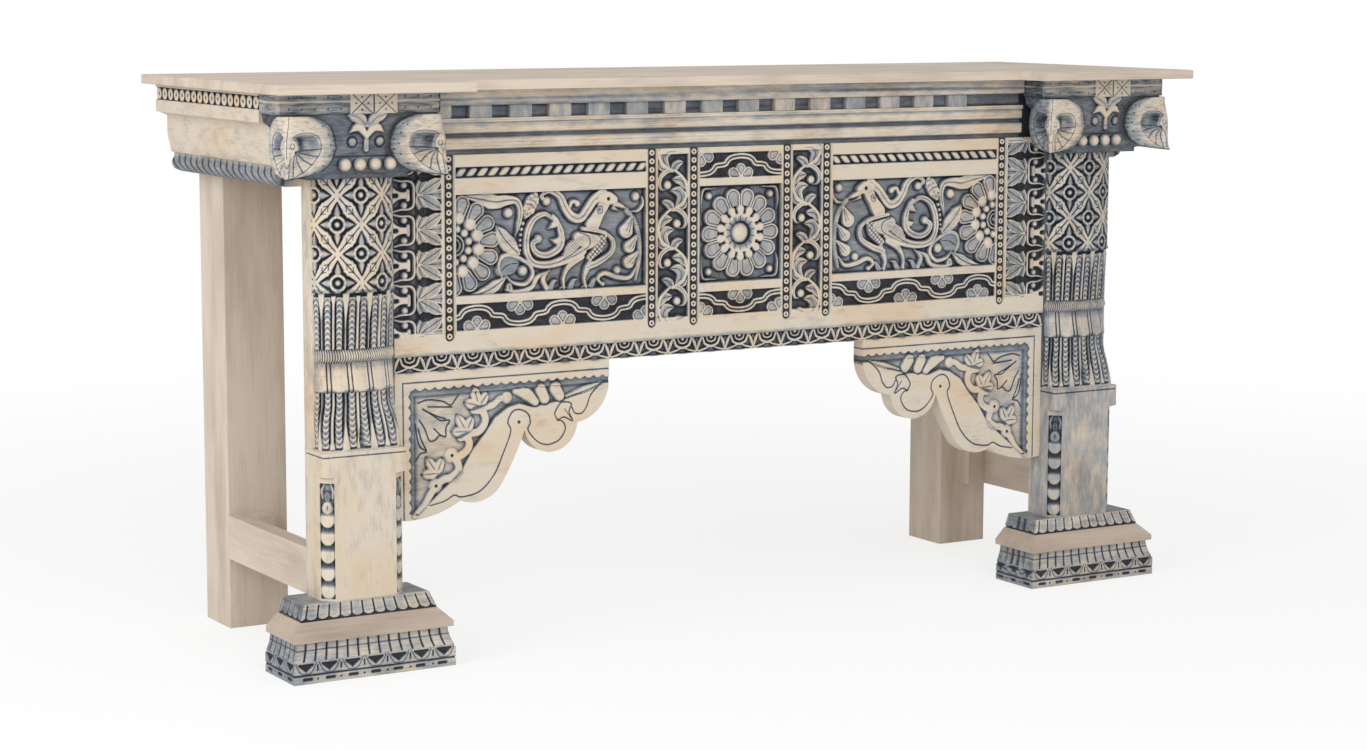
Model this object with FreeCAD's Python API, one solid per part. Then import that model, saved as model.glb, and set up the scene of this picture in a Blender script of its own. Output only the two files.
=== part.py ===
import FreeCAD, Part
import os

from FreeCAD import Vector

# Carved console table of solid wood, in millimetres. The origin is on the floor under the middle
# of the top, the carved front faces -Y, +X is to the right seen from the front, and +Z is up.

# Overall sizes
table_height = 900.0
table_width = 1720.0
table_depth = 556.0
edge_round = 2.0
cut_overrun = 5.0

# Top: three planks glued edge to edge, and an ear over each column
top_thickness = 15.0
plank_count = 3
ear_width = 321.0
ear_projection = 77.0

# Front posts: a square die below, a carved half column above, a flat board strip behind
post_inset = 164.0
post_width = 138.0
post_depth = 69.5
post_setback = 73.5
post_board_depth = 31.0
die_chamfer = 18.0
die_chamfer_stop = 38.5
flare_height = 88.0
bell_height = 45.0
ring_height = 21.0
leaf_band_height = 86.0
lattice_height = 174.0
shaft_inset = 1.0
flare_bulge_shares = (1.0, 0.68)
bell_bulge_shares = (0.84, 0.6)
ring_bulge_shares = (0.7, 0.9, 0.7)
leaf_band_bulge_shares = (0.7, 0.9)
post_tenon_width = 40.0
post_tenon_depth = 34.0
post_tenon_length = 70.0

# Column bases: plinth with a cove, bevelled slab and fluted tier, flat at the back
base_width = 270.0
base_depth = 111.0
base_projection = 31.5
plinth_band_height = 30.0
cove_height = 32.0
cove_depth = 10.0
cove_sag_share = 0.8
slab_height = 28.0
slab_lip = 2.0
slab_edge_height = 9.0
tier_height = 24.5
tier_bottom_inset = 20.5
tier_top_inset = 30.0

# Capitals: core, abacus band, two corner volutes and a row of balls
abacus_length = 265.0
abacus_depth = 79.0
abacus_height = 31.0
abacus_projection = 20.5
abacus_offset = 8.75
capital_height = 97.0
neck_height = 8.0
neck_projection = 9.0
core_side_insets = (30.0, 24.0, 3.0)
core_front_insets = (8.0, 7.0, 3.0)
core_rise_share = 0.3
ball_radius = 10.5
ball_count = 4
ball_pitch = 24.7
ball_rise = 22.0
ball_sink = 2.0
volute_span = 271.0
volute_projection = 25.0
volute_width = 93.0
volute_depth = 70.0
volute_slant = 14.0
volute_front_shares = ((0, 1.0), (0.56, 1.0), (1.0, 0.5, 0.91, 0.83), (0, 0.05, 0.72, 0.16))

# End cornices, from the capital to the back, each with a bead strip let into its fascia
cornice_height = 142.0
cornice_depth = 71.0
cornice_fascia_height = 45.0
cornice_bottom_depth = 30.6
cornice_level_shares = (0.641, 0.465, 0.225, 0.176, 0.077)
cornice_depth_shares = (0.739, 0.739, 0.655, 0.585, 0.62)
cornice_cove_shares = (0.82, 0.653)
end_strip_height = 24.0
end_strip_thickness = 4.0
end_strip_drop = 3.5

# Rear legs, rails, stretchers, corner blocks and battens
leg_width = 103.0
leg_depth = 100.0
rail_thickness = 28.0
rail_height = 110.0
rear_rail_inset = 15.0
stretcher_height = 72.0
stretcher_rise = 116.0
corner_block_size = 38.0
batten_width = 60.0
batten_thickness = 20.0
batten_spacing = 800.0
tenon_length = 20.0
tenon_thickness = 12.0
tenon_shoulder = 10.0
tenon_clearance = 0.2

# Screws under the battens and in the corner blocks
screw_radius = 2.0
screw_head_radius = 4.2
screw_head_height = 2.5
screw_bite = 9.0
batten_screw_shares = (0.08, 0.36, 0.64, 0.92)
block_screw_shares = (0.25, 0.75)

# Carved apron between the posts, in front of one backboard
apron_depth = 31.0
backboard_thickness = 11.0
bottom_rail_height = 29.0
lotus_height = 26.5
lotus_setback = 2.0
bead_strip_width = 18.6
bead_channel_width = 11.0
bead_channel_depth = 4.0
bead_channel_margin = 4.0
strip_place_shares = (0.848, 0.269, 0.1434)
panel_margin = 2.5
bird_ground_depth = 10.0
band_ground_depth = 6.0
vine_ground_depth = 8.0
rope_row_shares = (0.873, 0.931)
bird_row_shares = (0.2165, 0.778)
bird_wave_shares = (0.0215, 0.168)
rosette_top_wave_shares = (0.8226, 0.9656)
rosette_row_shares = (0.2104, 0.7742)
rosette_wave_shares = (0.0194, 0.154)
border_row_shares = (0.0215, 0.9656)

# Frieze over the apron: fascia, dentil row and a moulding of two bands
fascia_height = 24.3
fascia_projection = 6.0
dentil_height = 20.7
dentil_width = 39.0
dentil_depth = 12.0
dentil_pitch = 70.0
dentil_start = 6.0
dentil_blank_length = 80.0
dentil_ground_thickness = 10.0
moulding_height = 56.0
moulding_projection = 3.0
moulding_groove_depth = 8.0
ledge_share = 0.107
groove_shares = ((0, 0.16), (0.446, 0.607))

# Scalloped brackets under the apron
bracket_length = 380.0
bracket_height = 229.0
bracket_rise = 106.0
bracket_thickness = 28.0
bracket_shares = ((0, 0), (1.0, 0), (1.0, 0.157), (0.847, 0.428, 0.945, 0.352), (0.597, 0.45, 0.74, 0.618),
                  (0.5, 0.777, 0.553, 0.617), (0.297, 0.902, 0.42, 0.904), (0, 1.0, 0.16, 0.99))

# Levels and planes that follow from the sizes
underside = table_height - top_thickness
back_plane = table_depth / 2
ear_front = -table_depth / 2
middle_front = ear_front + ear_projection
post_x = table_width / 2 - post_inset
post_inner = post_x - post_width / 2
post_outer = post_x + post_width / 2
die_front = ear_front + post_setback
post_back = die_front + post_depth
board_front = post_back - post_board_depth
base_height = plinth_band_height + cove_height + slab_height + tier_height
base_front = die_front - base_projection
capital_top = underside - abacus_height
column_top = capital_top - capital_height
lattice_bottom = column_top - lattice_height
die_top = lattice_bottom - leaf_band_height - ring_height - bell_height - flare_height
capital_x = post_x + abacus_offset
abacus_inner = capital_x - abacus_length / 2
abacus_outer = capital_x + abacus_length / 2
abacus_front = die_front - abacus_projection
capital_back = abacus_front + abacus_depth
apron_front = post_back - apron_depth
backboard_front = post_back - backboard_thickness
frieze_height = fascia_height + dentil_height + moulding_height
bay_top = underside - frieze_height
lotus_bottom = base_height + bracket_rise + bracket_height
rail_bottom = lotus_bottom + lotus_height
bay_bottom = rail_bottom + bottom_rail_height
bay_height = bay_top - bay_bottom
cornice_bottom = underside - cornice_height
leg_inner = post_outer - leg_width
leg_front = back_plane - leg_depth
rail_inner = post_outer - rail_thickness
rail_bottom_level = underside - rail_height
rear_rail_back = back_plane - rear_rail_inset
rear_rail_front = rear_rail_back - rail_thickness
strip_centres = [share * post_inner for share in strip_place_shares]
side_names = {1: "right", -1: "left"}


def box(x0, x1, y0, y1, z0, z1):
    return Part.makeBox(x1 - x0, y1 - y0, z1 - z0, Vector(x0, y0, z0))


def outline_face(steps, place):
    # Each step is a straight run to a point, or an arc to it through the second pair of numbers.
    edges = []
    start = place(*steps[0][:2])
    here = start
    for step in steps[1:]:
        end = place(*step[:2])
        if len(step) > 2:
            edges.append(Part.Arc(here, place(*step[2:]), end).toShape())
        else:
            edges.append(Part.LineSegment(here, end).toShape())
        here = end
    edges.append(Part.LineSegment(here, start).toShape())
    return Part.Face(Part.Wire(edges))


def reversed_steps(steps):
    back = [steps[-1][:2]]
    for number in range(len(steps) - 1, 0, -1):
        back.append(tuple(steps[number - 1][:2]) + tuple(steps[number][2:]))
    return back


def shifted_steps(steps, origin, direction):
    # Turns insets into distances from a plane: even places are insets, odd places are heights.
    moved = []
    for step in steps:
        moved.append(tuple(origin + direction * v if n % 2 == 0 else v for n, v in enumerate(step)))
    return moved


def moulded_block(x0, x1, front, back, side_steps, front_steps):
    # A block whose moulding runs round its front and both ends, with mitred corners and a flat back.
    right = shifted_steps(side_steps, x1, -1)
    left = reversed_steps(shifted_steps(side_steps, x0, 1))
    across = outline_face(right + left, lambda x, z: Vector(x, front, z))
    across = across.extrude(Vector(0, back - front, 0))
    bottom, top = front_steps[0][1], front_steps[-1][1]
    run = shifted_steps(front_steps, front, 1) + [(back, top), (back, bottom)]
    along = outline_face(run, lambda y, z: Vector(x0, y, z)).extrude(Vector(x1 - x0, 0, 0))
    return across.common(along)


def rounded(shape, radius, chosen):
    edges = [edge for edge in shape.Edges if chosen(edge)]
    return shape.makeFillet(radius, edges)


def is_upright(edge):
    run = edge.tangentAt(edge.FirstParameter)
    return abs(run.z) > max(abs(run.x), abs(run.y))


def at_table_end(edge):
    return abs(edge.CenterOfMass.x) > table_width / 2 - edge_round and not is_upright(edge)


def mirrored(shape):
    return shape.mirror(Vector(0, 0, 0), Vector(1, 0, 0))


def on_side(side, shape):
    return shape if side > 0 else mirrored(shape)


def tenon(x0, x1, y0, y1, z0, z1, slack):
    return box(x0 - slack, x1 + slack, y0 - slack, y1 + slack, z0 - slack, z1 + slack)


# Every maker below gives the right-hand piece; the left one is its mirror image.
def stretcher_tenon(y0, y1, slack):
    middle = (rail_inner + post_outer) / 2
    return tenon(middle - tenon_thickness / 2, middle + tenon_thickness / 2, y0, y1,
                 stretcher_rise + tenon_shoulder, stretcher_rise + stretcher_height - tenon_shoulder, slack)


def side_rail_tenon(y0, y1, slack):
    middle = (rail_inner + post_outer) / 2
    return tenon(middle - tenon_thickness / 2, middle + tenon_thickness / 2, y0, y1,
                 rail_bottom_level + tenon_shoulder, underside - tenon_shoulder, slack)


def rear_rail_tenon(x0, x1, slack):
    middle = (rear_rail_front + rear_rail_back) / 2
    return tenon(x0, x1, middle - tenon_thickness / 2, middle + tenon_thickness / 2,
                 rail_bottom_level + tenon_shoulder, underside - tenon_shoulder, slack)


def post_tenon(slack):
    middle = (die_front + post_back) / 2
    return tenon(post_x - post_tenon_width / 2, post_x + post_tenon_width / 2, middle - post_tenon_depth / 2,
                 middle + post_tenon_depth / 2, base_height - post_tenon_length, base_height, slack)


def column_section(level, share):
    half = post_width / 2 - shaft_inset
    bulge = (board_front - die_front) * share
    start = Vector(post_x - half, board_front, level)
    end = Vector(post_x + half, board_front, level)
    arc = Part.Arc(start, Vector(post_x, board_front - bulge, level), end).toShape()
    return Part.Wire([arc, Part.LineSegment(end, start).toShape()])


def make_post():
    post = box(post_inner, post_outer, die_front, post_back, base_height, die_top)
    for x, inward in ((post_inner, 1), (post_outer, -1)):
        corner = [(0, 0), (inward * die_chamfer, 0), (0, die_chamfer)]
        wedge = outline_face(corner, lambda a, b, x=x: Vector(x + a, die_front + b, base_height))
        post = post.cut(wedge.extrude(Vector(0, 0, die_top - die_chamfer_stop - base_height)))
    post = post.fuse(box(post_inner, post_outer, board_front, post_back, die_top, underside))
    level = die_top
    for height, shares in ((flare_height, flare_bulge_shares), (bell_height, bell_bulge_shares),
                           (ring_height, ring_bulge_shares), (leaf_band_height, leaf_band_bulge_shares)):
        step = height / (len(shares) - 1)
        for lower, upper in zip(shares, shares[1:]):
            rings = [column_section(level, lower), column_section(level + step, upper)]
            post = post.fuse(Part.makeLoft(rings, True, True))
            level = level + step
    shaft = Part.Face(column_section(lattice_bottom, 1)).extrude(Vector(0, 0, lattice_height))
    post = post.fuse(shaft).fuse(post_tenon(0))
    post = post.cut(stretcher_tenon(post_back - tenon_length, post_back, tenon_clearance))
    post = post.cut(side_rail_tenon(post_back - tenon_length, post_back, tenon_clearance))
    return post.removeSplitter()


def base_block(steps):
    x0, x1 = post_x - base_width / 2, post_x + base_width / 2
    block = moulded_block(x0, x1, base_front, base_front + base_depth, steps, steps)
    return block.cut(post_tenon(tenon_clearance))


def make_base_plinth():
    top = plinth_band_height + cove_height
    sag = (cove_depth * cove_sag_share, plinth_band_height + cove_height / 2)
    return base_block([(0, 0), (0, plinth_band_height), (cove_depth, top) + sag])


def make_base_slab():
    bottom = plinth_band_height + cove_height
    edge_top = bottom + slab_edge_height
    return base_block([(slab_lip, bottom), (slab_lip, edge_top), (tier_bottom_inset, bottom + slab_height)])


def make_base_tier():
    bottom = plinth_band_height + cove_height + slab_height
    return base_block([(tier_bottom_inset, bottom), (tier_top_inset, bottom + tier_height)])


def capital_notch():
    # Room behind a capital for the post board and the apron, up to the post's outer face.
    return box(abacus_inner - cut_overrun, post_outer, board_front, capital_back + cut_overrun, 0, underside)


def make_capital_core():
    shelf = column_top + neck_height
    rise = shelf + (capital_height - neck_height) * core_rise_share
    side, front = core_side_insets, core_front_insets
    side_steps = [(side[0], shelf), (side[1], rise), (side[2], capital_top)]
    front_steps = [(front[0], shelf), (front[1], rise), (front[2], capital_top)]
    core = moulded_block(abacus_inner, abacus_outer, abacus_front, capital_back, side_steps, front_steps)
    neck_front = (abacus_front + front[0] + die_front) / 2
    neck = box(post_inner - neck_projection, post_outer + neck_projection, neck_front, capital_back,
               column_top, shelf)
    return core.fuse(neck).cut(capital_notch()).removeSplitter()


def make_abacus():
    band = box(abacus_inner, abacus_outer, abacus_front, capital_back, capital_top, underside)
    return band.cut(capital_notch())


def make_volute(ridge_x, inward):
    # Inward is the X direction from the volute's ridge towards the middle of the capital.
    ridge_y = abacus_front - volute_projection
    height = capital_top - column_top

    def scaled(width):
        return [tuple((width, height)[n % 2] * v for n, v in enumerate(s)) for s in volute_front_shares]

    face = outline_face(scaled(volute_width), lambda p, z: Vector(ridge_x + inward * p, ridge_y, column_top + z))
    front = face.extrude(Vector(0, volute_depth, 0))
    face = outline_face(scaled(volute_depth), lambda q, z: Vector(ridge_x, ridge_y + q, column_top + z))
    side = face.extrude(Vector(inward * volute_width, 0, 0))
    plan = [(0, 0), (volute_width, volute_slant), (volute_width, volute_depth), (0, volute_depth)]
    face = outline_face(plan, lambda p, q: Vector(ridge_x + inward * p, ridge_y + q, column_top))
    wedge = face.extrude(Vector(0, 0, height))
    return front.common(side).common(wedge)


def make_volutes(core):
    outer_ridge = capital_x + volute_span / 2
    pair = []
    for volute in (make_volute(outer_ridge, -1), make_volute(outer_ridge - volute_span, 1)):
        pair += volute.cut(core).Solids
    return Part.Compound(pair)


def make_balls(core):
    balls = []
    for number in range(ball_count):
        x = post_x + (number - (ball_count - 1) / 2) * ball_pitch
        centre = Vector(x, abacus_front + ball_sink, column_top + ball_rise)
        balls += Part.makeSphere(ball_radius, centre).cut(core).Solids
    return Part.Compound(balls)


def end_strip_groove():
    outer = post_outer + cornice_depth
    top = underside - end_strip_drop
    return box(outer - end_strip_thickness, outer, capital_back, back_plane, top - end_strip_height, top)


def make_end_cornice():
    levels = [cornice_bottom + share * cornice_height for share in cornice_level_shares]
    depths = [cornice_depth * share for share in cornice_depth_shares]
    cove_depth_share, cove_level_share = cornice_cove_shares
    cove = (cornice_depth * cove_depth_share, cornice_bottom + cornice_height * cove_level_share)
    fascia_bottom = underside - cornice_fascia_height
    steps = [(0, underside), (cornice_depth, underside), (cornice_depth, fascia_bottom),
             (depths[0], levels[0]) + cove, (depths[1], levels[1]), (depths[2], levels[2]),
             (depths[3], levels[3]), (cornice_bottom_depth, cornice_bottom, depths[4], levels[4]),
             (0, cornice_bottom)]
    face = outline_face(steps, lambda d, z: Vector(post_outer + d, capital_back, z))
    return face.extrude(Vector(0, back_plane - capital_back, 0)).cut(end_strip_groove())


def make_rear_leg():
    leg = rounded(box(leg_inner, post_outer, leg_front, back_plane, 0, underside), edge_round, is_upright)
    leg = leg.cut(stretcher_tenon(leg_front, leg_front + tenon_length, tenon_clearance))
    leg = leg.cut(side_rail_tenon(leg_front, leg_front + tenon_length, tenon_clearance))
    leg = leg.cut(rear_rail_tenon(leg_inner, leg_inner + tenon_length, tenon_clearance))
    return leg.cut(corner_screws())


def make_side_stretcher():
    bar = box(rail_inner, post_outer, post_back, leg_front, stretcher_rise, stretcher_rise + stretcher_height)
    return bar.fuse(stretcher_tenon(post_back - tenon_length, leg_front + tenon_length, 0)).removeSplitter()


def make_side_rail():
    bar = box(rail_inner, post_outer, post_back, leg_front, rail_bottom_level, underside)
    return bar.fuse(side_rail_tenon(post_back - tenon_length, leg_front + tenon_length, 0)).removeSplitter()


def make_rear_rail():
    bar = box(-leg_inner, leg_inner, rear_rail_front, rear_rail_back, rail_bottom_level, underside)
    return bar.fuse(rear_rail_tenon(-leg_inner - tenon_length, leg_inner + tenon_length, 0)).removeSplitter()


def screw(head_seat, direction, length):
    head = Part.makeCone(screw_head_radius, screw_radius, screw_head_height, head_seat, direction)
    shank = Part.makeCylinder(screw_radius, length, head_seat, direction)
    return head.fuse(shank).removeSplitter()


def corner_screws():
    screws = []
    for share in block_screw_shares:
        seat = Vector(rail_inner - corner_block_size / 2, leg_front - corner_block_size,
                      stretcher_rise + stretcher_height * share)
        screws.append(screw(seat, Vector(0, 1, 0), corner_block_size + screw_bite))
    return Part.Compound(screws)


def make_corner_block():
    block = box(rail_inner - corner_block_size, rail_inner, leg_front - corner_block_size, leg_front,
                stretcher_rise, stretcher_rise + stretcher_height)
    return block.cut(corner_screws())


def batten_screws():
    screws = []
    length = rear_rail_front - post_back
    for x in (-batten_spacing / 2, 0, batten_spacing / 2):
        for share in batten_screw_shares:
            seat = Vector(x, post_back + length * share, underside - batten_thickness)
            screws.append(screw(seat, Vector(0, 0, 1), batten_thickness + screw_bite))
    return Part.Compound(screws)


def make_batten(x, screws):
    bar = box(x - batten_width / 2, x + batten_width / 2, post_back, rear_rail_front,
              underside - batten_thickness, underside)
    return bar.cut(screws)


def make_planks(screws):
    planks = []
    width = (back_plane - middle_front) / plank_count
    for number in range(plank_count):
        y0 = middle_front + width * number
        plank = box(-table_width / 2, table_width / 2, y0, y0 + width, underside, table_height)
        plank = rounded(plank, edge_round, at_table_end)
        planks.append(plank.cut(screws))
    return planks


def make_ear():
    ear = box(table_width / 2 - ear_width, table_width / 2, ear_front, middle_front, underside, table_height)

    def outer_edge(edge):
        at_front = edge.CenterOfMass.y < ear_front + edge_round and not is_upright(edge)
        return at_front or at_table_end(edge)

    return rounded(ear, edge_round, outer_edge)


def board(x0, x1, z0, z1):
    return box(x0, x1, apron_front, backboard_front, z0, z1)


def recess(x0, x1, shares, depth):
    z0, z1 = [bay_bottom + bay_height * share for share in shares]
    return box(x0 + panel_margin, x1 - panel_margin, apron_front - cut_overrun, apron_front + depth, z0, z1)


def make_vine_border():
    x0, x1 = strip_centres[0] + bead_strip_width / 2, post_inner
    return board(x0, x1, bay_bottom, bay_top).cut(recess(x0, x1, border_row_shares, vine_ground_depth))


def make_bird_panel():
    x0, x1 = strip_centres[1] + bead_strip_width / 2, strip_centres[0] - bead_strip_width / 2
    panel = board(x0, x1, bay_bottom, bay_top)
    for shares, depth in ((rope_row_shares, band_ground_depth), (bird_row_shares, bird_ground_depth),
                          (bird_wave_shares, band_ground_depth)):
        panel = panel.cut(recess(x0, x1, shares, depth))
    return panel


def make_scroll_strip():
    x0, x1 = strip_centres[2] + bead_strip_width / 2, strip_centres[1] - bead_strip_width / 2
    return board(x0, x1, bay_bottom, bay_top).cut(recess(x0, x1, border_row_shares, vine_ground_depth))


def make_rosette_panel():
    half = strip_centres[2] - bead_strip_width / 2
    panel = board(-half, half, bay_bottom, bay_top)
    for shares, depth in ((rosette_top_wave_shares, band_ground_depth), (rosette_row_shares, bird_ground_depth),
                          (rosette_wave_shares, band_ground_depth)):
        panel = panel.cut(recess(-half, half, shares, depth))
    return panel


def make_bead_strip(x):
    strip = board(x - bead_strip_width / 2, x + bead_strip_width / 2, bay_bottom, bay_top)
    channel = box(x - bead_channel_width / 2, x + bead_channel_width / 2, apron_front - cut_overrun,
                  apron_front + bead_channel_depth, bay_bottom + bead_channel_margin,
                  bay_top - bead_channel_margin)
    return strip.cut(channel)


def make_dentils():
    top = underside - fascia_height
    front = backboard_front - dentil_ground_thickness
    blocks = []
    count = int((2 * abacus_inner - dentil_start - dentil_blank_length) / dentil_pitch)
    for number in range(count):
        x = -abacus_inner + dentil_start + dentil_pitch * number
        blocks.append(box(x, x + dentil_width, front - dentil_depth, front, top - dentil_height, top))
    return Part.Compound(blocks)


def make_frieze_moulding():
    top = bay_top + moulding_height
    moulding = box(-abacus_inner, abacus_inner, apron_front, backboard_front, bay_top, top)
    ledge = box(-abacus_inner, abacus_inner, apron_front - moulding_projection, apron_front,
                top - moulding_height * ledge_share, top)
    moulding = moulding.fuse(ledge)
    for lower, upper in groove_shares:
        moulding = moulding.cut(box(-abacus_inner - cut_overrun, abacus_inner + cut_overrun,
                                    apron_front - cut_overrun, apron_front + moulding_groove_depth,
                                    bay_top + moulding_height * lower, bay_top + moulding_height * upper))
    return moulding.removeSplitter()


def make_bracket():
    steps = [tuple((bracket_length, bracket_height)[n % 2] * v for n, v in enumerate(s)) for s in bracket_shares]
    face = outline_face(steps, lambda s, t: Vector(post_inner - s, post_back - bracket_thickness, lotus_bottom - t))
    return face.extrude(Vector(0, bracket_thickness, 0))


def build():
    parts = {}
    core = make_capital_core()
    screws = batten_screws()
    pairs = {
        "rear_leg": make_rear_leg(), "side_rail": make_side_rail(), "side_stretcher": make_side_stretcher(),
        "corner_block": make_corner_block(), "front_post": make_post(), "base_plinth": make_base_plinth(),
        "base_slab": make_base_slab(), "base_tier": make_base_tier(), "capital_core": core,
        "capital_abacus": make_abacus(), "capital_volutes": make_volutes(core), "capital_balls": make_balls(core),
        "end_cornice": make_end_cornice(), "end_bead_strip": end_strip_groove(), "top_ear": make_ear(),
        "vine_border": make_vine_border(), "bird_panel": make_bird_panel(), "scroll_strip": make_scroll_strip(),
        "bracket": make_bracket(),
    }
    for name, shape in pairs.items():
        for side, word in side_names.items():
            parts[name + "_" + word] = on_side(side, shape)
    for name, plank in zip(("front", "centre", "rear"), make_planks(screws)):
        parts["top_plank_" + name] = plank
    for name, x in (("left", -batten_spacing / 2), ("centre", 0), ("right", batten_spacing / 2)):
        parts["top_batten_" + name] = make_batten(x, screws)
    parts["batten_screws"] = screws
    parts["corner_block_screws"] = Part.Compound([corner_screws(), mirrored(corner_screws())])
    parts["rear_rail"] = make_rear_rail()
    parts["apron_backboard"] = box(-post_inner, post_inner, backboard_front, post_back, lotus_bottom, underside)
    parts["apron_bottom_rail"] = board(-post_inner, post_inner, rail_bottom, bay_bottom)
    parts["lotus_band"] = box(-post_inner, post_inner, apron_front + lotus_setback, backboard_front,
                              lotus_bottom, rail_bottom)
    for name, x in zip(("outer", "inner", "centre"), strip_centres):
        strip = make_bead_strip(x)
        parts["bead_strips_" + name] = Part.Compound([strip, mirrored(strip)])
    parts["rosette_panel"] = make_rosette_panel()
    parts["frieze_fascia"] = box(-abacus_inner, abacus_inner, apron_front - fascia_projection, backboard_front,
                                 underside - fascia_height, underside)
    parts["dentil_strip"] = box(-abacus_inner, abacus_inner, backboard_front - dentil_ground_thickness,
                                backboard_front, bay_top + moulding_height, underside - fascia_height)
    parts["dentil_blocks"] = make_dentils()
    parts["frieze_moulding"] = make_frieze_moulding()
    return parts


os.makedirs("parts", exist_ok=True)
for name, shape in build().items():
    shape.exportStep("parts/" + name + ".step")
    print(name, len(shape.Solids), shape.isValid(), round(shape.Volume))
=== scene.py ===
import math

import bmesh
import bpy
import numpy as np
from mathutils import Matrix, Vector


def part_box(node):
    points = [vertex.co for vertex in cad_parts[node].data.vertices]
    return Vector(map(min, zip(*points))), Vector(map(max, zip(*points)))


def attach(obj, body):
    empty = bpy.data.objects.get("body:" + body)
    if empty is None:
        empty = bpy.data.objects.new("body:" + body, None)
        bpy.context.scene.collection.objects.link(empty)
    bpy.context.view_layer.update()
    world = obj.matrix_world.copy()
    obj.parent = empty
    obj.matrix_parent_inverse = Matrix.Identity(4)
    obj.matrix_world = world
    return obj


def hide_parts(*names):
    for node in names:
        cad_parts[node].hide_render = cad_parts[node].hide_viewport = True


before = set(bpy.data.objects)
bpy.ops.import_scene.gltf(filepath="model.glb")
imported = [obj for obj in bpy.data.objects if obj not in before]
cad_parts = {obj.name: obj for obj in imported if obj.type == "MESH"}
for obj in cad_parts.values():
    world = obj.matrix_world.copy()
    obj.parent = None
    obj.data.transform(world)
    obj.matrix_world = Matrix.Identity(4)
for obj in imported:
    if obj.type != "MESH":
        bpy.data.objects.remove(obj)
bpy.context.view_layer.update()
mm = 0.001
sideSigns = {"left": -1, "right": 1}
print("frame loaded:", len(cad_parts), "nodes")


# Finishes
finish = {
    "cream": (0.60, 0.525, 0.43, 1), "bare": (0.48, 0.425, 0.36, 1), "mist": (0.29, 0.30, 0.31, 1),
    "slate": (0.135, 0.155, 0.185, 1), "navy": (0.052, 0.060, 0.077, 1), "soot": (0.019, 0.020, 0.024, 1),
    "slabPale": (0.47, 0.385, 0.31, 1), "slabDark": (0.33, 0.265, 0.21, 1),
    "topPale": (0.60, 0.51, 0.42, 1), "topDark": (0.42, 0.345, 0.275, 1), "legPale": (0.62, 0.53, 0.44, 1),
    "legDark": (0.44, 0.36, 0.285, 1), "steel": (0.45, 0.44, 0.42, 1), "dullSteel": 0.6,
}
surface = {"limedRoughness": 0.62, "washedRoughness": 0.6, "steelRoughness": 0.4, "shine": 0.25,
           "pores": 0.0006}
limedGrain = {"fine": (420.0, 0.03), "broad": (20.0, 0.2), "fineShare": 0.3, "broadShare": 0.75,
              "stops": (0.34, 0.47, 0.6), "bump": 0.25}
washedGrain = {"layers": ((500.0, 0.08, 0.45), (70.0, 0.4, 0.65), (13.0, 0.5, 0.3)),  # size, stretch, amount
               "stops": {"cream": 0.03, "bare": 0.16, "mist": 0.32, "slate": 0.56, "navy": 0.82, "soot": 1.0},
               "warmNoise": (16.0, 0.5), "span": 1.1, "bump": 0.3,
               "warmth": ((0.45, (1, 1, 1, 1)), (0.6, (1.0, 0.95, 0.87, 1)), (0.72, (1.0, 0.88, 0.78, 1)))}


def addNode(tree, kind, **values):
    node = tree.nodes.new("ShaderNode" + kind)
    for key, value in values.items():
        if key in node.inputs:
            node.inputs[key].default_value = value
        else:
            setattr(node, key, value)
    return node


def join(tree, source, sourceSocket, target, targetSocket):
    tree.links.new(source.outputs[sourceSocket], target.inputs[targetSocket])


def addMath(tree, operation, source, socket, amount):
    node = addNode(tree, "Math", operation=operation)
    node.inputs[1].default_value = amount
    join(tree, source, socket, node, 0)
    return node


def newMaterial(name, roughness):
    material = bpy.data.materials.new(name)
    material.use_nodes = True
    tree = material.node_tree
    shader = tree.nodes["Principled BSDF"]
    shader.inputs["Roughness"].default_value = roughness
    shader.inputs["Specular IOR Level"].default_value = surface["shine"]
    return material, tree, shader


def grainNoise(tree, axis, across, stretch, detail=6.0):
    # noise drawn out along one axis of the wood
    coords = addNode(tree, "TexCoord")
    scale = [across] * 3
    scale["XYZ".index(axis)] = across * stretch
    mapping = addNode(tree, "Mapping", Scale=scale)
    noise = addNode(tree, "TexNoise", Scale=1.0, Detail=detail, Roughness=0.6)
    join(tree, coords, "Object", mapping, "Vector")
    join(tree, mapping, "Vector", noise, "Vector")
    return noise


def colourRamp(tree, source, socket, stops):
    ramp = addNode(tree, "ValToRGB")
    elements = ramp.color_ramp.elements
    while len(elements) < len(stops):
        elements.new(0.5)
    for element, (place, colour) in zip(elements, stops):
        element.position = place
        element.color = colour
    join(tree, source, socket, ramp, "Fac")
    return ramp


def addBump(tree, shader, source, strength):
    bump = addNode(tree, "Bump", Strength=strength, Distance=surface["pores"])
    join(tree, source, "Fac", bump, "Height")
    join(tree, bump, "Normal", shader, "Normal")


def limedWood(name, axis, pale, dark):
    material, tree, shader = newMaterial(name, surface["limedRoughness"])
    fine = grainNoise(tree, axis, *limedGrain["fine"])
    broad = grainNoise(tree, axis, *limedGrain["broad"], 4.0)
    figure = addMath(tree, "MULTIPLY_ADD", fine, "Fac", limedGrain["fineShare"])
    part = addMath(tree, "MULTIPLY", broad, "Fac", limedGrain["broadShare"])
    join(tree, part, "Value", figure, 2)
    middle = tuple((a + b) / 2 for a, b in zip(finish[pale], finish[dark]))
    stops = list(zip(limedGrain["stops"], (finish[dark], middle, finish[pale])))
    ramp = colourRamp(tree, figure, "Value", stops)
    join(tree, ramp, "Color", shader, "Base Color")
    addBump(tree, shader, fine, limedGrain["bump"])
    return material


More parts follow.
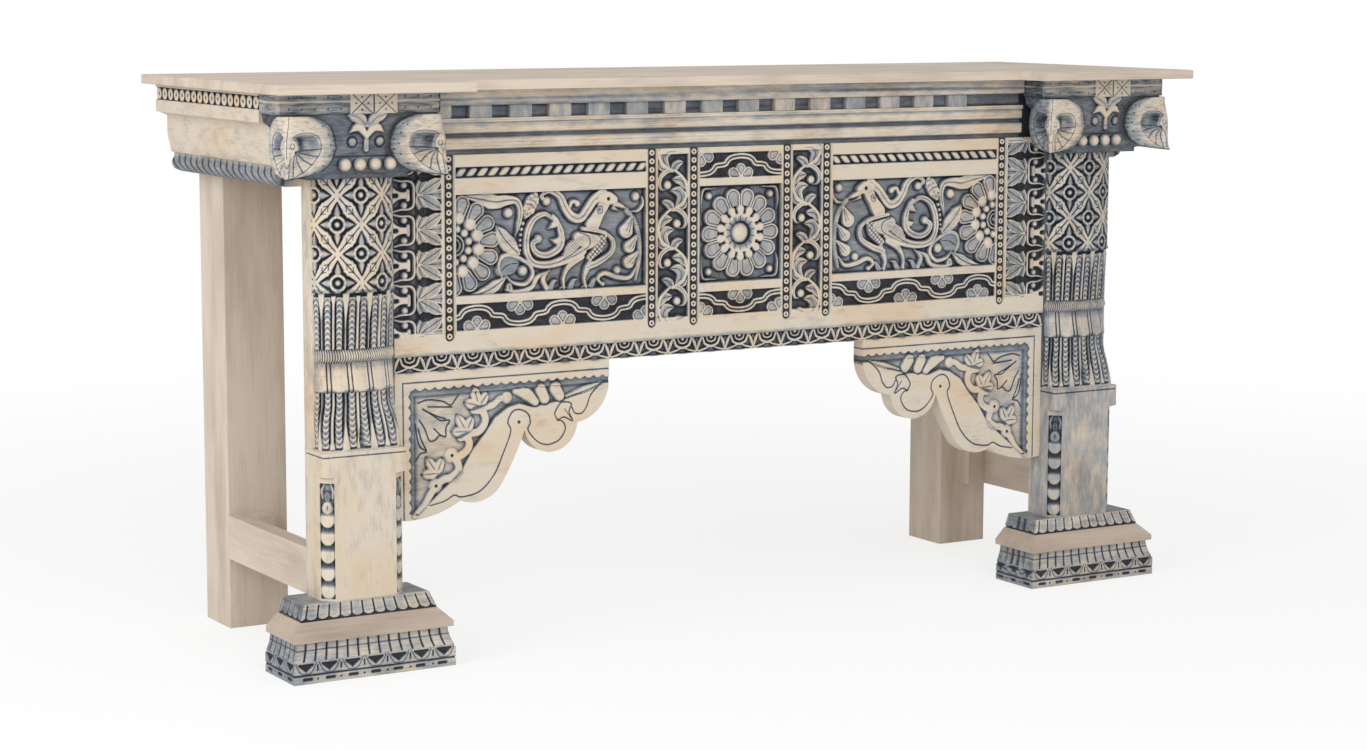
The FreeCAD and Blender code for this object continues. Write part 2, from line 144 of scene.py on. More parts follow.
def washedCarving(name, axis):
    # cream wood with a blue wash: the wash attribute carries the blue wash and painted shade, from rubbed
    # wood to dark recess
    material, tree, shader = newMaterial(name, surface["washedRoughness"])
    node, socket, shift = addNode(tree, "Attribute", attribute_name="wash"), "Fac", 0.0
    for across, stretch, amount in washedGrain["layers"]:
        noise = grainNoise(tree, axis, across, stretch)
        total = addMath(tree, "MULTIPLY_ADD", noise, "Fac", amount)
        join(tree, node, socket, total, 2)
        node, socket, shift = total, "Value", shift + amount / 2
    span = shift + washedGrain["span"]
    scale = addMath(tree, "MULTIPLY", node, socket, 1 / span)
    stops = [((place + shift) / span, finish[colour]) for colour, place in washedGrain["stops"].items()]
    ramp = colourRamp(tree, scale, "Value", stops)
    fine = grainNoise(tree, axis, *washedGrain["layers"][0][:2])
    warmth = grainNoise(tree, axis, *washedGrain["warmNoise"], 2.0)
    warmRamp = colourRamp(tree, warmth, "Fac", washedGrain["warmth"])
    tint = addNode(tree, "Mix", data_type="RGBA", blend_type="MULTIPLY")
    tint.inputs[0].default_value = 1.0
    tree.links.new(ramp.outputs["Color"], tint.inputs[6])
    tree.links.new(warmRamp.outputs["Color"], tint.inputs[7])
    tree.links.new(tint.outputs[2], shader.inputs["Base Color"])
    addBump(tree, shader, fine, washedGrain["bump"])
    return material


def shadeOnFront(name, axis, pale, dark, front):
    # plain wood with painted shade, a navy colour, on the face in front
    material = limedWood(name, axis, pale, dark)
    tree = material.node_tree
    target = tree.nodes["Principled BSDF"].inputs["Base Color"]
    plain = target.links[0].from_socket
    coords, parts = addNode(tree, "TexCoord"), addNode(tree, "SeparateXYZ")
    join(tree, coords, "Object", parts, "Vector")
    inFront = addMath(tree, "LESS_THAN", parts, "Y", front)
    mix = addNode(tree, "Mix", data_type="RGBA")
    mix.inputs[7].default_value = finish["navy"]
    join(tree, inFront, "Value", mix, 0)
    tree.links.new(plain, mix.inputs[6])
    tree.links.new(mix.outputs[2], target)
    return material


def screwSteel():
    material, tree, shader = newMaterial("screwSteel", surface["steelRoughness"])
    shader.inputs["Metallic"].default_value = 1.0
    noise = grainNoise(tree, "Z", 600.0, 1.0)
    dull = tuple(v * finish["dullSteel"] for v in finish["steel"][:3]) + (1,)
    ramp = colourRamp(tree, noise, "Fac", [(0.35, dull), (0.65, finish["steel"])])
    join(tree, ramp, "Color", shader, "Base Color")
    return material


topWood = limedWood("limedTopWood", "X", "topPale", "topDark")
frameWood = {axis: limedWood("limedFrameWood" + axis, axis, "legPale", "legDark") for axis in "XYZ"}
slabWood = limedWood("limedSlabWood", "X", "slabPale", "slabDark")
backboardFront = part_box("apron_backboard")[0].y
backboardWood = shadeOnFront("limedBackboardWood", "X", "legPale", "legDark", backboardFront + mm)
carvingAcross = washedCarving("washedCarvingAcross", "X")
carvingUpright = washedCarving("washedCarvingUpright", "Z")
carvingDeep = washedCarving("washedCarvingDeep", "Y")
steel = screwSteel()
print("finishes made")


# Carving bench: a sheet is a grid of heights in millimetres
carving = {"strokeRoom": 1.5, "fieldEdge": (-0.6, 1.2), "fenceDrop": 30.0, "vein": 0.9, "haloRoom": 4.4,
           "hollowReach": 30, "hollowWashAndShade": 0.36, "steep": (0.3, 1.8), "backWash": 0.1}
everywhere = np.s_[:]


def evenLines(start, end, step):
    return np.linspace(start, end, max(1, round((end - start) / step)) + 1)


def joinLines(*runs):
    return np.unique(np.round(np.concatenate([evenLines(*run) for run in runs]), 4))


def sheetOn(u, v, level=0.0, drop=1.0):
    # heights, the ground that forms stand on, its tone, and extra wash
    flat = np.full(u.shape, float(level))
    return {"u": u, "v": v, "h": flat, "ground": flat - drop, "tone": u * 0, "paint": u * 0, "top": level}


def newSheet(us, vs, level=0.0):
    return sheetOn(*np.meshgrid(us, vs), level)


def smoothStep(low, high, value):
    t = np.clip((value - low) / (high - low), 0, 1)
    return t * t * (3 - 2 * t)


def shoulder(inside, edge):
    # a rounded rise from the outline of a form to its flat top
    t = np.clip((inside + 0.5) / (edge + 0.5), 0, 1)
    return 0.5 * np.sqrt(t * (2 - t)) + 0.5 * t * t * (3 - 2 * t)


def ridge(away, width):
    # 1 on a line, fading to 0 beside it
    return np.exp(-(away / width) ** 2)


def nearby(sheet, points, reach):
    low, high = np.min(points, axis=0) - reach, np.max(points, axis=0) + reach
    u, v = sheet["u"], sheet["v"]
    return np.nonzero((u > low[0]) & (u < high[0]) & (v > low[1]) & (v < high[1]))


def smoothPath(points, perSpan=7):
    p = np.array(points, float)
    if len(p) < 3:
        return p
    padded = np.vstack([2 * p[0] - p[1], p, 2 * p[-1] - p[-2]])
    t = np.linspace(0, 1, perSpan, endpoint=False)[:, None]
    runs = []
    for a, b, c, d in zip(padded, padded[1:], padded[2:], padded[3:]):
        runs.append(b + 0.5 * t * (c - a + t * (2 * a - 5 * b + 4 * c - d + t * (3 * (b - c) + d - a))))
    return np.vstack(runs + [p[-1:]])


def runAlong(path):
    return np.concatenate([[0], np.cumsum(np.hypot(*np.diff(path, axis=0).T))])


def spanFrom(start, end, x, y):
    # share of a straight span that lies nearest to each point, and the distance to it
    (ax, ay), (dx, dy) = start, end - start
    t = np.clip(((x - ax) * dx + (y - ay) * dy) / (dx * dx + dy * dy + 1e-9), 0, 1)
    return t, np.hypot(x - ax - t * dx, y - ay - t * dy)


def stroke(sheet, points, widths):
    # how far inside a brush stroke each point is, half the stroke's width there, and the share of its length
    path = smoothPath(points)
    run = runAlong(path)
    share = run / run[-1]
    half = np.interp(share, np.linspace(0, 1, len(widths)), widths) * sheet.get("swell", 1.0) / 2
    near = nearby(sheet, path, half.max() + carving["strokeRoom"])
    x, y = sheet["u"][near], sheet["v"][near]
    inside, width, along = np.full(x.shape, -9.0), np.zeros(x.shape), np.zeros(x.shape)
    for n in range(len(path) - 1):
        t, away = spanFrom(path[n], path[n + 1], x, y)
        wide = half[n] + (half[n + 1] - half[n]) * t
        better = wide - away > inside
        inside[better] = (wide - away)[better]
        width[better] = wide[better]
        along[better] = (share[n] + (share[n + 1] - share[n]) * t)[better]
    return near, inside, width, along


def lift(sheet, near, rise, tint=0.0):
    level = sheet["ground"][near] + rise
    higher = (level > sheet["h"][near]) & (rise > 0)
    spot = tuple(axis[higher] for axis in near)
    sheet["h"][spot] = level[higher]
    sheet["paint"][spot] = np.broadcast_to(tint, rise.shape)[higher]


def darken(sheet, near, wash):
    sheet["paint"][near] = np.maximum(sheet["paint"][near], wash)


def cutIn(sheet, near, cut, depth, dark):
    # cut is 1 in the middle of a cut and 0 outside it
    sheet["h"][near] -= depth * cut
    darken(sheet, near, dark * cut)


def sinkField(sheet, u0, u1, v0, v1, depth, tone):
    # a sunk rectangle with its own ground
    u, v = sheet["u"], sheet["v"]
    inside = np.minimum(np.minimum(u - u0, u1 - u), np.minimum(v - v0, v1 - v))
    sheet["h"] -= depth * smoothStep(*carving["fieldEdge"], inside)
    field = inside > carving["fieldEdge"][0]
    sheet["ground"][field] = sheet["top"] - depth
    sheet["tone"][field] = tone


def fence(sheet):
    # no carving runs over the plain bands between the fields
    sheet["ground"][sheet["ground"] == sheet["top"] - 1] = sheet["top"] - carving["fenceDrop"]


def band(sheet, points, widths, height, edge=3.4, vein=0.0, tint=0.0):
    near, inside, width = stroke(sheet, points, widths)[:3]
    mark = ridge(width - inside, carving["vein"]) * (inside > 1)
    lift(sheet, near, height * shoulder(inside, edge) - vein * mark, tint + 0.2 * min(vein, 1.5) * mark)


def curl(sheet, points, widths, height, shade):
    # a scroll leaf with pale edges and a washed, slightly hollow middle
    near, inside = stroke(sheet, points, widths)[:2]
    middle = smoothStep(1.6, 3.6, inside)
    lift(sheet, near, height * shoulder(inside, 1.6) - 1.0 * middle, (shade + 0.2) * middle - 0.2)


def softened(field, passes):
    for _ in range(passes):
        wide = np.pad(field, 1, mode="edge")
        field = (4 * field + wide[:-2, 1:-1] + wide[2:, 1:-1] + wide[1:-1, :-2] + wide[1:-1, 2:]) / 8
    return field


def weather(sheet, amount, seed, drawn=8):
    # blotches of old wash drawn out along the grain
    spots = np.random.default_rng(seed).random(sheet["h"].shape)
    for number in range(drawn):
        spots = (spots + np.roll(spots, 1 + number, axis=1) + np.roll(spots, -1 - number, axis=1)) / 3
    spots = softened(spots, 2)
    sheet["paint"] = sheet["paint"] + amount * np.clip((spots - spots.mean()) / spots.std(), -0.4, 2.2)


def ball(sheet, x, y, radius, height, tint=0.0):
    near = nearby(sheet, [(x, y)], radius + 1)
    reach = np.hypot(sheet["u"][near] - x, sheet["v"][near] - y) / radius
    lift(sheet, near, height * np.clip(1 - reach * reach, 0, 1) ** 0.55, tint)


def ring(sheet, x, y, radius, width, height):
    near = nearby(sheet, [(x, y)], radius + width)
    reach = np.hypot(sheet["u"][near] - x, sheet["v"][near] - y)
    lift(sheet, near, height * shoulder(width / 2 - np.abs(reach - radius), width / 2))


def leaf(sheet, base, tip, width, height, bend=0.0, vein=1.0, tint=0.0):
    base, tip = np.array(base, float), np.array(tip, float)
    middle = (base + tip) / 2 + bend * np.array([base[1] - tip[1], tip[0] - base[0]])
    widths = (width * 0.35, width, width * 0.85, 0.6)
    near, inside, wide = stroke(sheet, [base, middle, tip], widths)[:3]
    off = (wide - inside) / np.maximum(wide, 0.5)
    hatch = smoothStep(0.5, 0.95, np.abs((off * 2.5 + 0.25) % 1 - 0.5) * 2) * (inside > 0.4)
    mark = ridge(wide - inside, carving["vein"])
    rise = height * shoulder(inside, 2.6) - vein * mark * (inside > 1)
    lift(sheet, near, rise, tint + 0.2 * hatch + 0.35 * mark)


def petal(sheet, centre, angle, inner, outer, widths, height, rim=2.4, hollow=2.4):
    # a rounded petal with a raised rim and a second outline inside
    way = np.array([math.sin(angle), math.cos(angle)])
    near, inside = stroke(sheet, [centre + way * inner, centre + way * outer], widths)[:2]
    fold = smoothStep(rim, rim + 1.2, inside) - 0.7 * smoothStep(rim + 2.2, rim + 4.0, inside)
    line = ridge(inside - rim - 1.7, carving["vein"])
    wash = 0.55 * line + 0.3 * smoothStep(rim + 1.5, rim + 4, inside) - 0.12
    lift(sheet, near, height * shoulder(inside, 1.8) - hollow * fold, wash)


def groove(sheet, points, width, depth, dark=0.7):
    near, inside = stroke(sheet, points, (width, width))[:2]
    cutIn(sheet, near, smoothStep(-0.5, width / 2, inside), depth, dark)


def pit(sheet, x, y, radius, depth, dark=0.8):
    near = nearby(sheet, [(x, y)], radius + 1)
    away = np.hypot(sheet["u"][near] - x, sheet["v"][near] - y)
    cutIn(sheet, near, smoothStep(-0.5, radius * 0.6, radius - away), depth, dark)


def halo(sheet, points, widths, dark=0.6):
    # dark outline on the ground round a raised form
    near, inside = stroke(sheet, points, [w + carving["haloRoom"] for w in widths])[:2]
    darken(sheet, near, dark * smoothStep(0, 1.6, inside))


def stainAndShade(sheet, hollowDepth=1.8, rub=0.12, slopeShade=0.34):
    # blue wash lies in the ground and in hollows, and is rubbed off the crests; painted shade is added in the
    # hollows near walls and on steep sides
    h, ground = sheet["h"], sheet["ground"]
    level = np.clip((h - ground) / np.maximum(sheet["top"] - ground, 1), 0, 1)
    hollow = (softened(h, carving["hollowReach"]) - h) / hollowDepth
    # wash and painted shade: darker in hollows, most near the walls
    wash = sheet["tone"] * (1 - level) ** 0.9 + carving["hollowWashAndShade"] * np.clip(hollow, 0, 1.3)
    wash = wash - rub * np.clip(-hollow, 0, 1)
    soft, steep = softened(h, 2), 0
    for axis in (0, 1):
        step = np.hypot(np.gradient(sheet["u"], axis=axis), np.gradient(sheet["v"], axis=axis))
        steep = steep + (np.gradient(soft, axis=axis) / np.maximum(step, 0.3)) ** 2
    # painted shade, with some wash: steep sides of the forms get darker
    wash = wash + slopeShade * smoothStep(*carving["steep"], np.sqrt(steep))
    sheet["wash"] = np.clip(wash + sheet["paint"], 0, 1)


def addWash(sheet, amount):
    sheet["wash"] = np.clip(sheet["wash"] + amount, 0, 1)


def newBench():
    bm = bmesh.new()
    bm.verts.layers.float.new("wash")
    return bm


def finishPiece(name, bm, material, node, sharp=48):
    bmesh.ops.recalc_face_normals(bm, faces=bm.faces)
    if bm.calc_volume(signed=True) < 0:
        bmesh.ops.reverse_faces(bm, faces=bm.faces)
    mesh = bpy.data.meshes.new(name)
    bm.to_mesh(mesh)
    bm.free()
    mesh.polygons.foreach_set("use_smooth", np.ones(len(mesh.polygons), bool))
    mesh.set_sharp_from_angle(angle=math.radians(sharp))
    mesh.materials.append(material)
    piece = bpy.data.objects.new(name, mesh)
    bpy.context.scene.collection.objects.link(piece)
    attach(piece, "root")
    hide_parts(node)
    print(name, len(mesh.polygons), "faces")


def shapeGrid(bm, sheet, place):
    rows, columns = sheet["h"].shape
    made = bmesh.ops.create_grid(bm, x_segments=columns - 1, y_segments=rows - 1, size=1)["verts"]
    layer = bm.verts.layers.float["wash"]
    spots = np.stack(place(sheet["u"], sheet["v"], sheet["h"]), axis=-1).reshape(-1, 3)
    for vert, spot, wash in zip(made, spots.tolist(), sheet["wash"].ravel().tolist()):
        vert.co = spot
        vert[layer] = wash
    return made


def carveSheet(bm, sheet, place, backAxis, backLevel):
    # a wall all round goes straight back along one axis to a flat back, so the piece is closed
    made = shapeGrid(bm, sheet, place)
    rim = [edge for edge in set(e for v in made for e in v.link_edges) if edge.is_boundary]
    walls = bmesh.ops.extrude_edge_only(bm, edges=rim)["geom"]
    for vert in (g for g in walls if isinstance(g, bmesh.types.BMVert)):
        vert.co["XYZ".index(backAxis)] = backLevel
    backRim = [g for g in walls if isinstance(g, bmesh.types.BMEdge) and g.is_boundary]
    bmesh.ops.contextual_create(bm, geom=backRim)


def boardFacts(node):
    low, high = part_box(node)
    return {"node": node, "side": 1 if low.x + high.x > 0 else -1, "outer": max(abs(low.x), abs(high.x)),
            "bottom": low.z, "front": low.y, "back": high.y, "width": (high.x - low.x) / mm,
            "height": (high.z - low.z) / mm}


def boardSheet(board, step, level=0.0, rowStep=None):
    return newSheet(evenLines(0, board["width"], step), evenLines(0, board["height"], rowStep or step), level)


def boardRows(board, values, *names):
    # the fields of a board, written as shares of its height
    return {name: [share * board["height"] for share in values[name]] for name in names}


def boardPlace(board, top):
    # u runs from the outer edge towards the middle of the table, v upwards, h out of the board
    def place(u, v, h):
        return (board["side"] * (board["outer"] - u * mm), board["front"] - (h - top) * mm,
                board["bottom"] + v * mm)
    return place


def carveBoard(name, sheet, board, material):
    bm = newBench()
    carveSheet(bm, sheet, boardPlace(board, sheet["top"]), "Y", board["back"])
    finishPiece(name, bm, material, board["node"])


# Apron panels: rope, wave and figure fields between plain bands
waveBand = {"reach": 76.0, "line": 11.0, "height": 5.6, "flower": 28.0, "vein": 3.6,
            "shape": ((0, 1.0), (0.2, 0.93), (0.31, 0.75), (0.36, 0.57), (0.43, 0.52), (0.55, 0.49),
                      (0.62, 0.42), (0.67, 0.24), (0.78, 0.07))}


def halfFlower(sheet, x, base, way, height, size):
    # three lobes on an edge, way is 1 for upwards and -1 for downwards
    for turn, reach in ((-1.15, 0.56), (1.15, 0.56), (0, 0.46)):
        angle = turn if way > 0 else math.pi - turn
        lobe = (size * 0.5, size * 0.72)
        petal(sheet, np.array([x, base]), angle, size * 0.3, size * reach, lobe, height, 2.0, 1.0)
    ball(sheet, x, base, size * 0.3, height, 0.05)


def waveField(sheet, u0, u1, v0, v1, crest):
    # a line that swings between the edges, with a half flower in every bay
    reach, room = waveBand["reach"], v1 - v0 - waveBand["line"] - 1
    low, points = v0 + waveBand["line"] / 2 + 0.5, []
    for number in range(-3, 6):
        start, way = crest + number * reach, 1 if number % 2 == 0 else -1
        if u0 - reach * 1.5 < start < u1 + reach:
            halfFlower(sheet, start, v0 if way > 0 else v1, way, waveBand["height"], waveBand["flower"])
            for du, dv in waveBand["shape"]:
                points.append((start + du * reach, low + room * (dv if way > 0 else 1 - dv)))
    band(sheet, points, (waveBand["line"],) * 2, waveBand["height"], 1.6, waveBand["vein"])


def ropeField(sheet, u0, u1, v0, v1, pitch, height):
    u, v = sheet["u"], sheet["v"]
    near = np.nonzero((u > u0) & (u < u1) & (v > v0) & (v < v1))
    rise = (v[near] - (v0 + v1) / 2) / (v1 - v0) * 2
    phase = ((u[near] - u0 - 4.2 * np.sin(rise * 1.5)) / pitch) % 1 - 0.5
    bulk = np.abs(phase / 0.44) ** 2.6 + np.abs(rise / 0.94) ** 3.6
    lift(sheet, near, height * np.clip(1 - bulk, 0, 1) ** 0.5)


birdPanel = {"step": 0.95, "plainStep": 5.0, "swell": 1.4, "margin": 2.5, "birdDepth": 10.0, "bandDepth": 6.0,
             "ropePitch": 19.0, "ropeHeight": 5.6, "crest": 38.0, "flowerAt": 1.0,
             "waveRow": (0.0215, 0.168), "birdRow": (0.2165, 0.778), "ropeRow": (0.873, 0.931),
             "waveTone": 1.0, "birdTone": 0.46, "ropeTone": 0.95}


def sunflower(sheet, x, y):
    centre = np.array([x, y])
    for number in range(-1, 9):
        petal(sheet, centre, math.radians(12 + 24 * number), 50, 66, (19, 27), 8.0)
    for count, radius, size, height in ((12, 43, 12.2, 10.0), (11, 26, 7.8, 8.6)):
        for number in range(count // 2 + 1):
            angle = (number + 0.35) * 2 * math.pi / count
            ball(sheet, x + radius * math.sin(angle), y + radius * math.cos(angle), size, height, -0.06)
    ring(sheet, x, y, 16, 5, 7.5)
    ring(sheet, x, y, 10, 4, 7.0)
    ball(sheet, x, y, 6, 7.0)


def feather(sheet, points, widths, height, barbs):
    near, inside, width, along = stroke(sheet, points, widths)
    off = (width - inside) / np.maximum(width, 0.1)
    barb = np.abs(((along * barbs - off * 0.5) % 1) - 0.5) * 2
    rise = height * shoulder(inside, 2) - 1.8 * smoothStep(0.55, 0.95, barb) * (inside > 0)
    lift(sheet, near, rise - 0.8 * ridge(width - inside, 0.8))


def beadRun(sheet, points, radii, height):
    path = smoothPath(points, 24)
    run = runAlong(path)
    spot = radii[0]
    while spot < run[-1]:
        radius = np.interp(spot / run[-1], (0, 1), radii)
        ball(sheet, np.interp(spot, run, path[:, 0]), np.interp(spot, run, path[:, 1]), radius, height)
        spot += 2.1 * radius


def birdScrolls(sheet):
    # leaf, curls and crest between the flower and the bird
    band(sheet, [(22, 214), (48, 209), (74, 204), (92, 206), (110, 204), (117, 188), (113, 165), (108, 148)],
         (5, 11, 19, 15, 10, 8, 7, 2), 7.5, 2.4, 1.6)
    ball(sheet, 96, 186, 9.5, 8.5)
    feather(sheet, [(146, 217), (135, 197), (125, 178)], (3, 17, 17, 5), 7.5, 6)
    beadRun(sheet, [(123, 173), (118, 153), (116, 126)], (4.6, 3.4), 6.5)
    leaf(sheet, (112, 122), (72, 169), 21, 7.5, 0.05, 1.8)
    band(sheet, [(84, 97), (97, 105), (112, 106)], (18, 27, 8), 5.0, 5, 1.4, 0.12)
    band(sheet, [(84, 86), (78, 103), (84, 117), (98, 120), (117, 113), (134, 101), (138, 86), (125, 73),
                 (104, 76), (92, 87)], (4, 6, 7, 7, 7, 7, 7, 7, 6, 3), 7.0)
    ball(sheet, 121, 94, 10, 8.8)
    band(sheet, [(30, 61), (46, 62), (66, 69), (90, 84)], (3, 12, 15, 4), 6.5, 2.4, 1.6)
    band(sheet, [(174, 174), (159, 182), (139, 173), (128, 150), (128, 123), (141, 105), (169, 102),
                 (205, 111), (228, 121)], (5, 8, 9, 9, 9, 10, 11, 13, 12), 7.8, 2.4, 1.2)
    band(sheet, [(149, 143), (138, 135), (146, 121), (165, 117), (186, 128), (190, 147), (182, 174)],
         (8, 8, 9, 10, 10, 9, 4), 7.2, 2.4, 1.2)
    ball(sheet, 149, 143, 8.5, 8.6)
    band(sheet, [(175, 178), (180, 168), (167, 158)], (7, 11, 2), 7.0)
    band(sheet, [(190, 147), (184, 138), (171, 141)], (8, 10, 2), 7.0)
    band(sheet, [(163, 202), (154, 210), (168, 218), (187, 209), (197, 190), (209, 176), (224, 173),
                 (236, 185), (248, 200), (264, 209)], (6, 6, 8, 10, 11, 12, 12, 12, 12, 16), 7.8, 2.4, 1.2)
    ball(sheet, 164, 202, 8.5, 8.4)
    band(sheet, [(203, 186), (209, 199), (219, 198)], (6, 7, 7), 7.0)
    ball(sheet, 219, 196, 6.5, 8.0)


def birdFigure(sheet):
    # legs, breast, wing, tail feathers, neck and head
    band(sheet, [(226, 112), (205, 99), (194, 81), (194, 63)], (15, 14, 9, 8), 7.0)
    band(sheet, [(242, 102), (236, 92), (231, 77), (234, 62)], (13, 13, 9, 8), 7.0)
    for x in (194, 234):
        for toe in (-9, 0, 9):
            band(sheet, [(x, 67), (x + toe, 60)], (5, 4), 6.5)
    breast = [(268, 149), (283, 135), (281, 117), (260, 103), (236, 94)]
    band(sheet, breast, (7, 10, 11, 13, 12), 7.6, 2.4, 1.0)
    band(sheet, [(221, 141), (236, 136), (252, 138)], (24, 32, 20), 8.0, 4)
    near, inside, width = stroke(sheet, [(226, 140), (207, 126), (189, 107)], (15, 22, 5))[:3]
    stripe = smoothStep(0.45, 0.9, np.abs(((width - inside) / 3.4) % 1 - 0.5) * 2) * (inside > 0.6)
    lift(sheet, near, 8.8 * shoulder(inside, 2) - 1.2 * stripe, 0.45 * stripe)
    near, inside = stroke(sheet, [(265, 144), (258, 126), (241, 110)], (15, 17, 13))[:2]
    u, v = sheet["u"][near], sheet["v"][near]
    check = np.abs(np.sin((u + v) / 2.6)) * np.abs(np.sin((u - v) / 2.6))
    scales = smoothStep(0.5, 0.15, check) * (inside > 1.4)
    lift(sheet, near, 8.8 * shoulder(inside, 1.6) - 1.6 * scales, 0.4 * scales)
    band(sheet, [(268, 196), (258, 180), (246, 162)], (24, 23, 29), 8.6, 4)
    band(sheet, [(228, 156), (248, 153), (268, 148)], (8, 9, 8), 9.6, 2.0, 1.0)
    band(sheet, [(262, 203), (273, 203), (284, 200)], (20, 27, 20), 9.2, 5)
    band(sheet, [(286, 194), (298, 190), (311, 184)], (13, 10, 2), 8.0)
    band(sheet, [(284, 187), (297, 181)], (9, 2), 7.0)
    ring(sheet, 274, 202, 4.6, 2.2, 9.8)
    pit(sheet, 274, 202, 3.4, 3.0)
    groove(sheet, [(253, 190), (262, 190), (262, 181), (255, 180), (253, 190)], 1.6, 1.0, 0.6)
    pit(sheet, 257.5, 185.5, 4.0, 1.0, 0.4)
    for points in (((222, 150), (238, 143), (240, 130), (230, 122)), ((226, 128), (207, 116), (186, 106)),
                   ((270, 128), (262, 112), (244, 104)), ((228, 152), (246, 148), (264, 145))):
        groove(sheet, points, 1.5, 1.0, 0.6)


def birdVine(sheet):
    # the beaded stem that the bird holds, and the scrolls on the ground
    stem = [(310, 182), (324, 165), (332, 141), (334, 114), (331, 91), (326, 70)]
    band(sheet, stem, (8, 8, 8, 8, 8, 6), 4.5)
    beadRun(sheet, stem, (2.9, 2.6), 6.6)
    pendants = ((319, 174), (308, 150), 20), ((330, 143), (314, 124), 17), ((331, 116), (313, 99), 17)
    for root, tip, width in pendants:
        band(sheet, [root, tip], (4, width), 7.5, 3.0, 1.2)
        groove(sheet, [(root[0] - 1, root[1] - 6), (tip[0] + 5, tip[1] - 3)], 1.3, 0.8, 0.5)
    ball(sheet, 326, 204, 8.5, 8.4)
    band(sheet, [(338, 203), (339, 191), (330, 181), (318, 180)], (3, 6, 6, 3), 6.6)
    band(sheet, [(264, 65), (256, 75), (268, 83), (290, 76), (314, 74), (327, 90)], (5, 7, 8, 8, 7, 3), 7.0)
    ball(sheet, 265, 66, 5.5, 7.4)
    ball(sheet, 292, 87, 8, 8.0)
    band(sheet, [(92, 65), (113, 61), (136, 67), (146, 82), (166, 92)], (5, 8, 8, 8, 2), 7.0)
    band(sheet, [(163, 64), (157, 80), (170, 94)], (8, 8, 2), 7.0)
    leaf(sheet, (98, 62), (96, 76), 10, 6.5)
    for x in (176, 212, 250):
        band(sheet, [(x - 6, 64), (x, 74), (x + 8, 76)], (9, 7, 2), 6.0, 2.4, 0, 0.15)


def makeBirdPanel(word):
    board = boardFacts("bird_panel_" + word)
    rows = boardRows(board, birdPanel, "waveRow", "birdRow", "ropeRow")
    marks = [0]
    for low, high in rows.values():
        marks += [low - 1, high + 1]
    marks.append(board["height"])
    steps = [birdPanel["plainStep"], birdPanel["step"]] * len(rows) + [birdPanel["plainStep"]]
    sheet = newSheet(evenLines(0, board["width"], birdPanel["step"]),
                     joinLines(*zip(marks, marks[1:], steps)), birdPanel["birdDepth"])
    u0, u1 = birdPanel["margin"], board["width"] - birdPanel["margin"]
    sinkField(sheet, u0, u1, *rows["ropeRow"], birdPanel["bandDepth"], birdPanel["ropeTone"])
    sinkField(sheet, u0, u1, *rows["birdRow"], birdPanel["birdDepth"], birdPanel["birdTone"])
    sinkField(sheet, u0, u1, *rows["waveRow"], birdPanel["bandDepth"], birdPanel["waveTone"])
    fence(sheet)
    ropeField(sheet, u0, u1, *rows["ropeRow"], birdPanel["ropePitch"], birdPanel["ropeHeight"])
    waveField(sheet, u0, u1, *rows["waveRow"], birdPanel["crest"])
    sunflower(sheet, birdPanel["flowerAt"], sum(rows["birdRow"]) / 2)
    sheet["swell"] = birdPanel["swell"]
    birdScrolls(sheet)
    birdVine(sheet)
    sheet["swell"] = 1.0
    birdFigure(sheet)
    stainAndShade(sheet)
    carveBoard("birdPanel_" + word, sheet, board, carvingAcross)


for word in sideSigns:
    makeBirdPanel(word)


# Rosette panel between the scroll strips
rosettePanel = {"step": 0.95, "margin": 2.0, "depth": 10.0, "bandDepth": 6.0, "petals": 14, "innerRing": 44.5,
                "topRow": (0.8226, 0.9656), "flowerRow": (0.2104, 0.7742), "bottomRow": (0.0194, 0.1541),
                "bandTone": 1.0, "flowerTone": 0.56, "toothedRing": (18, 34), "teeth": 14, "boss": 18.5,
                "cornerBall": (59, 62), "cornerLine": ((72, 36), (74, 52), (70, 72), (54, 74), (44, 75))}


def toothedRing(sheet, x, y, inner, outer, teeth, height):
    near = nearby(sheet, [(x, y)], outer + 3)
    du, dv = sheet["u"][near] - x, sheet["v"][near] - y
    reach, turn = np.hypot(du, dv), np.arctan2(du, dv) * teeth / (2 * math.pi)
    saw = np.abs(turn % 1 - 0.5) * 2
    inside = np.minimum(outer - 5 * saw - reach, reach - inner)
    lift(sheet, near, height * shoulder(inside, 2) - 1.6 * smoothStep(0.7, 0.95, saw) * (inside > 0),
         0.5 * smoothStep(outer - 4, inner + 2, reach) - 0.06)


def rosette(sheet, x, y):
    centre, turn = np.array([x, y]), 2 * math.pi / rosettePanel["petals"]
    for number in range(rosettePanel["petals"]):
        petal(sheet, centre, (number + 0.5) * turn, 45, 60.5, (21, 28), 8.5, 2.8, 1.8)
    inner = np.hypot(sheet["u"] - x, sheet["v"] - y) < rosettePanel["innerRing"]
    sheet["h"][inner] = 1.5
    sheet["paint"][inner] = 0.3
    for number in range(rosettePanel["petals"]):
        way = np.array([math.sin(number * turn), math.cos(number * turn)])
        band(sheet, [centre + way * 33, centre + way * 39], (15, 18.4), 9.8, 4.2, 0, -0.04)
    toothedRing(sheet, x, y, *rosettePanel["toothedRing"], rosettePanel["teeth"], 8.6)
    ball(sheet, x, y, rosettePanel["boss"], 9.8, -0.06)


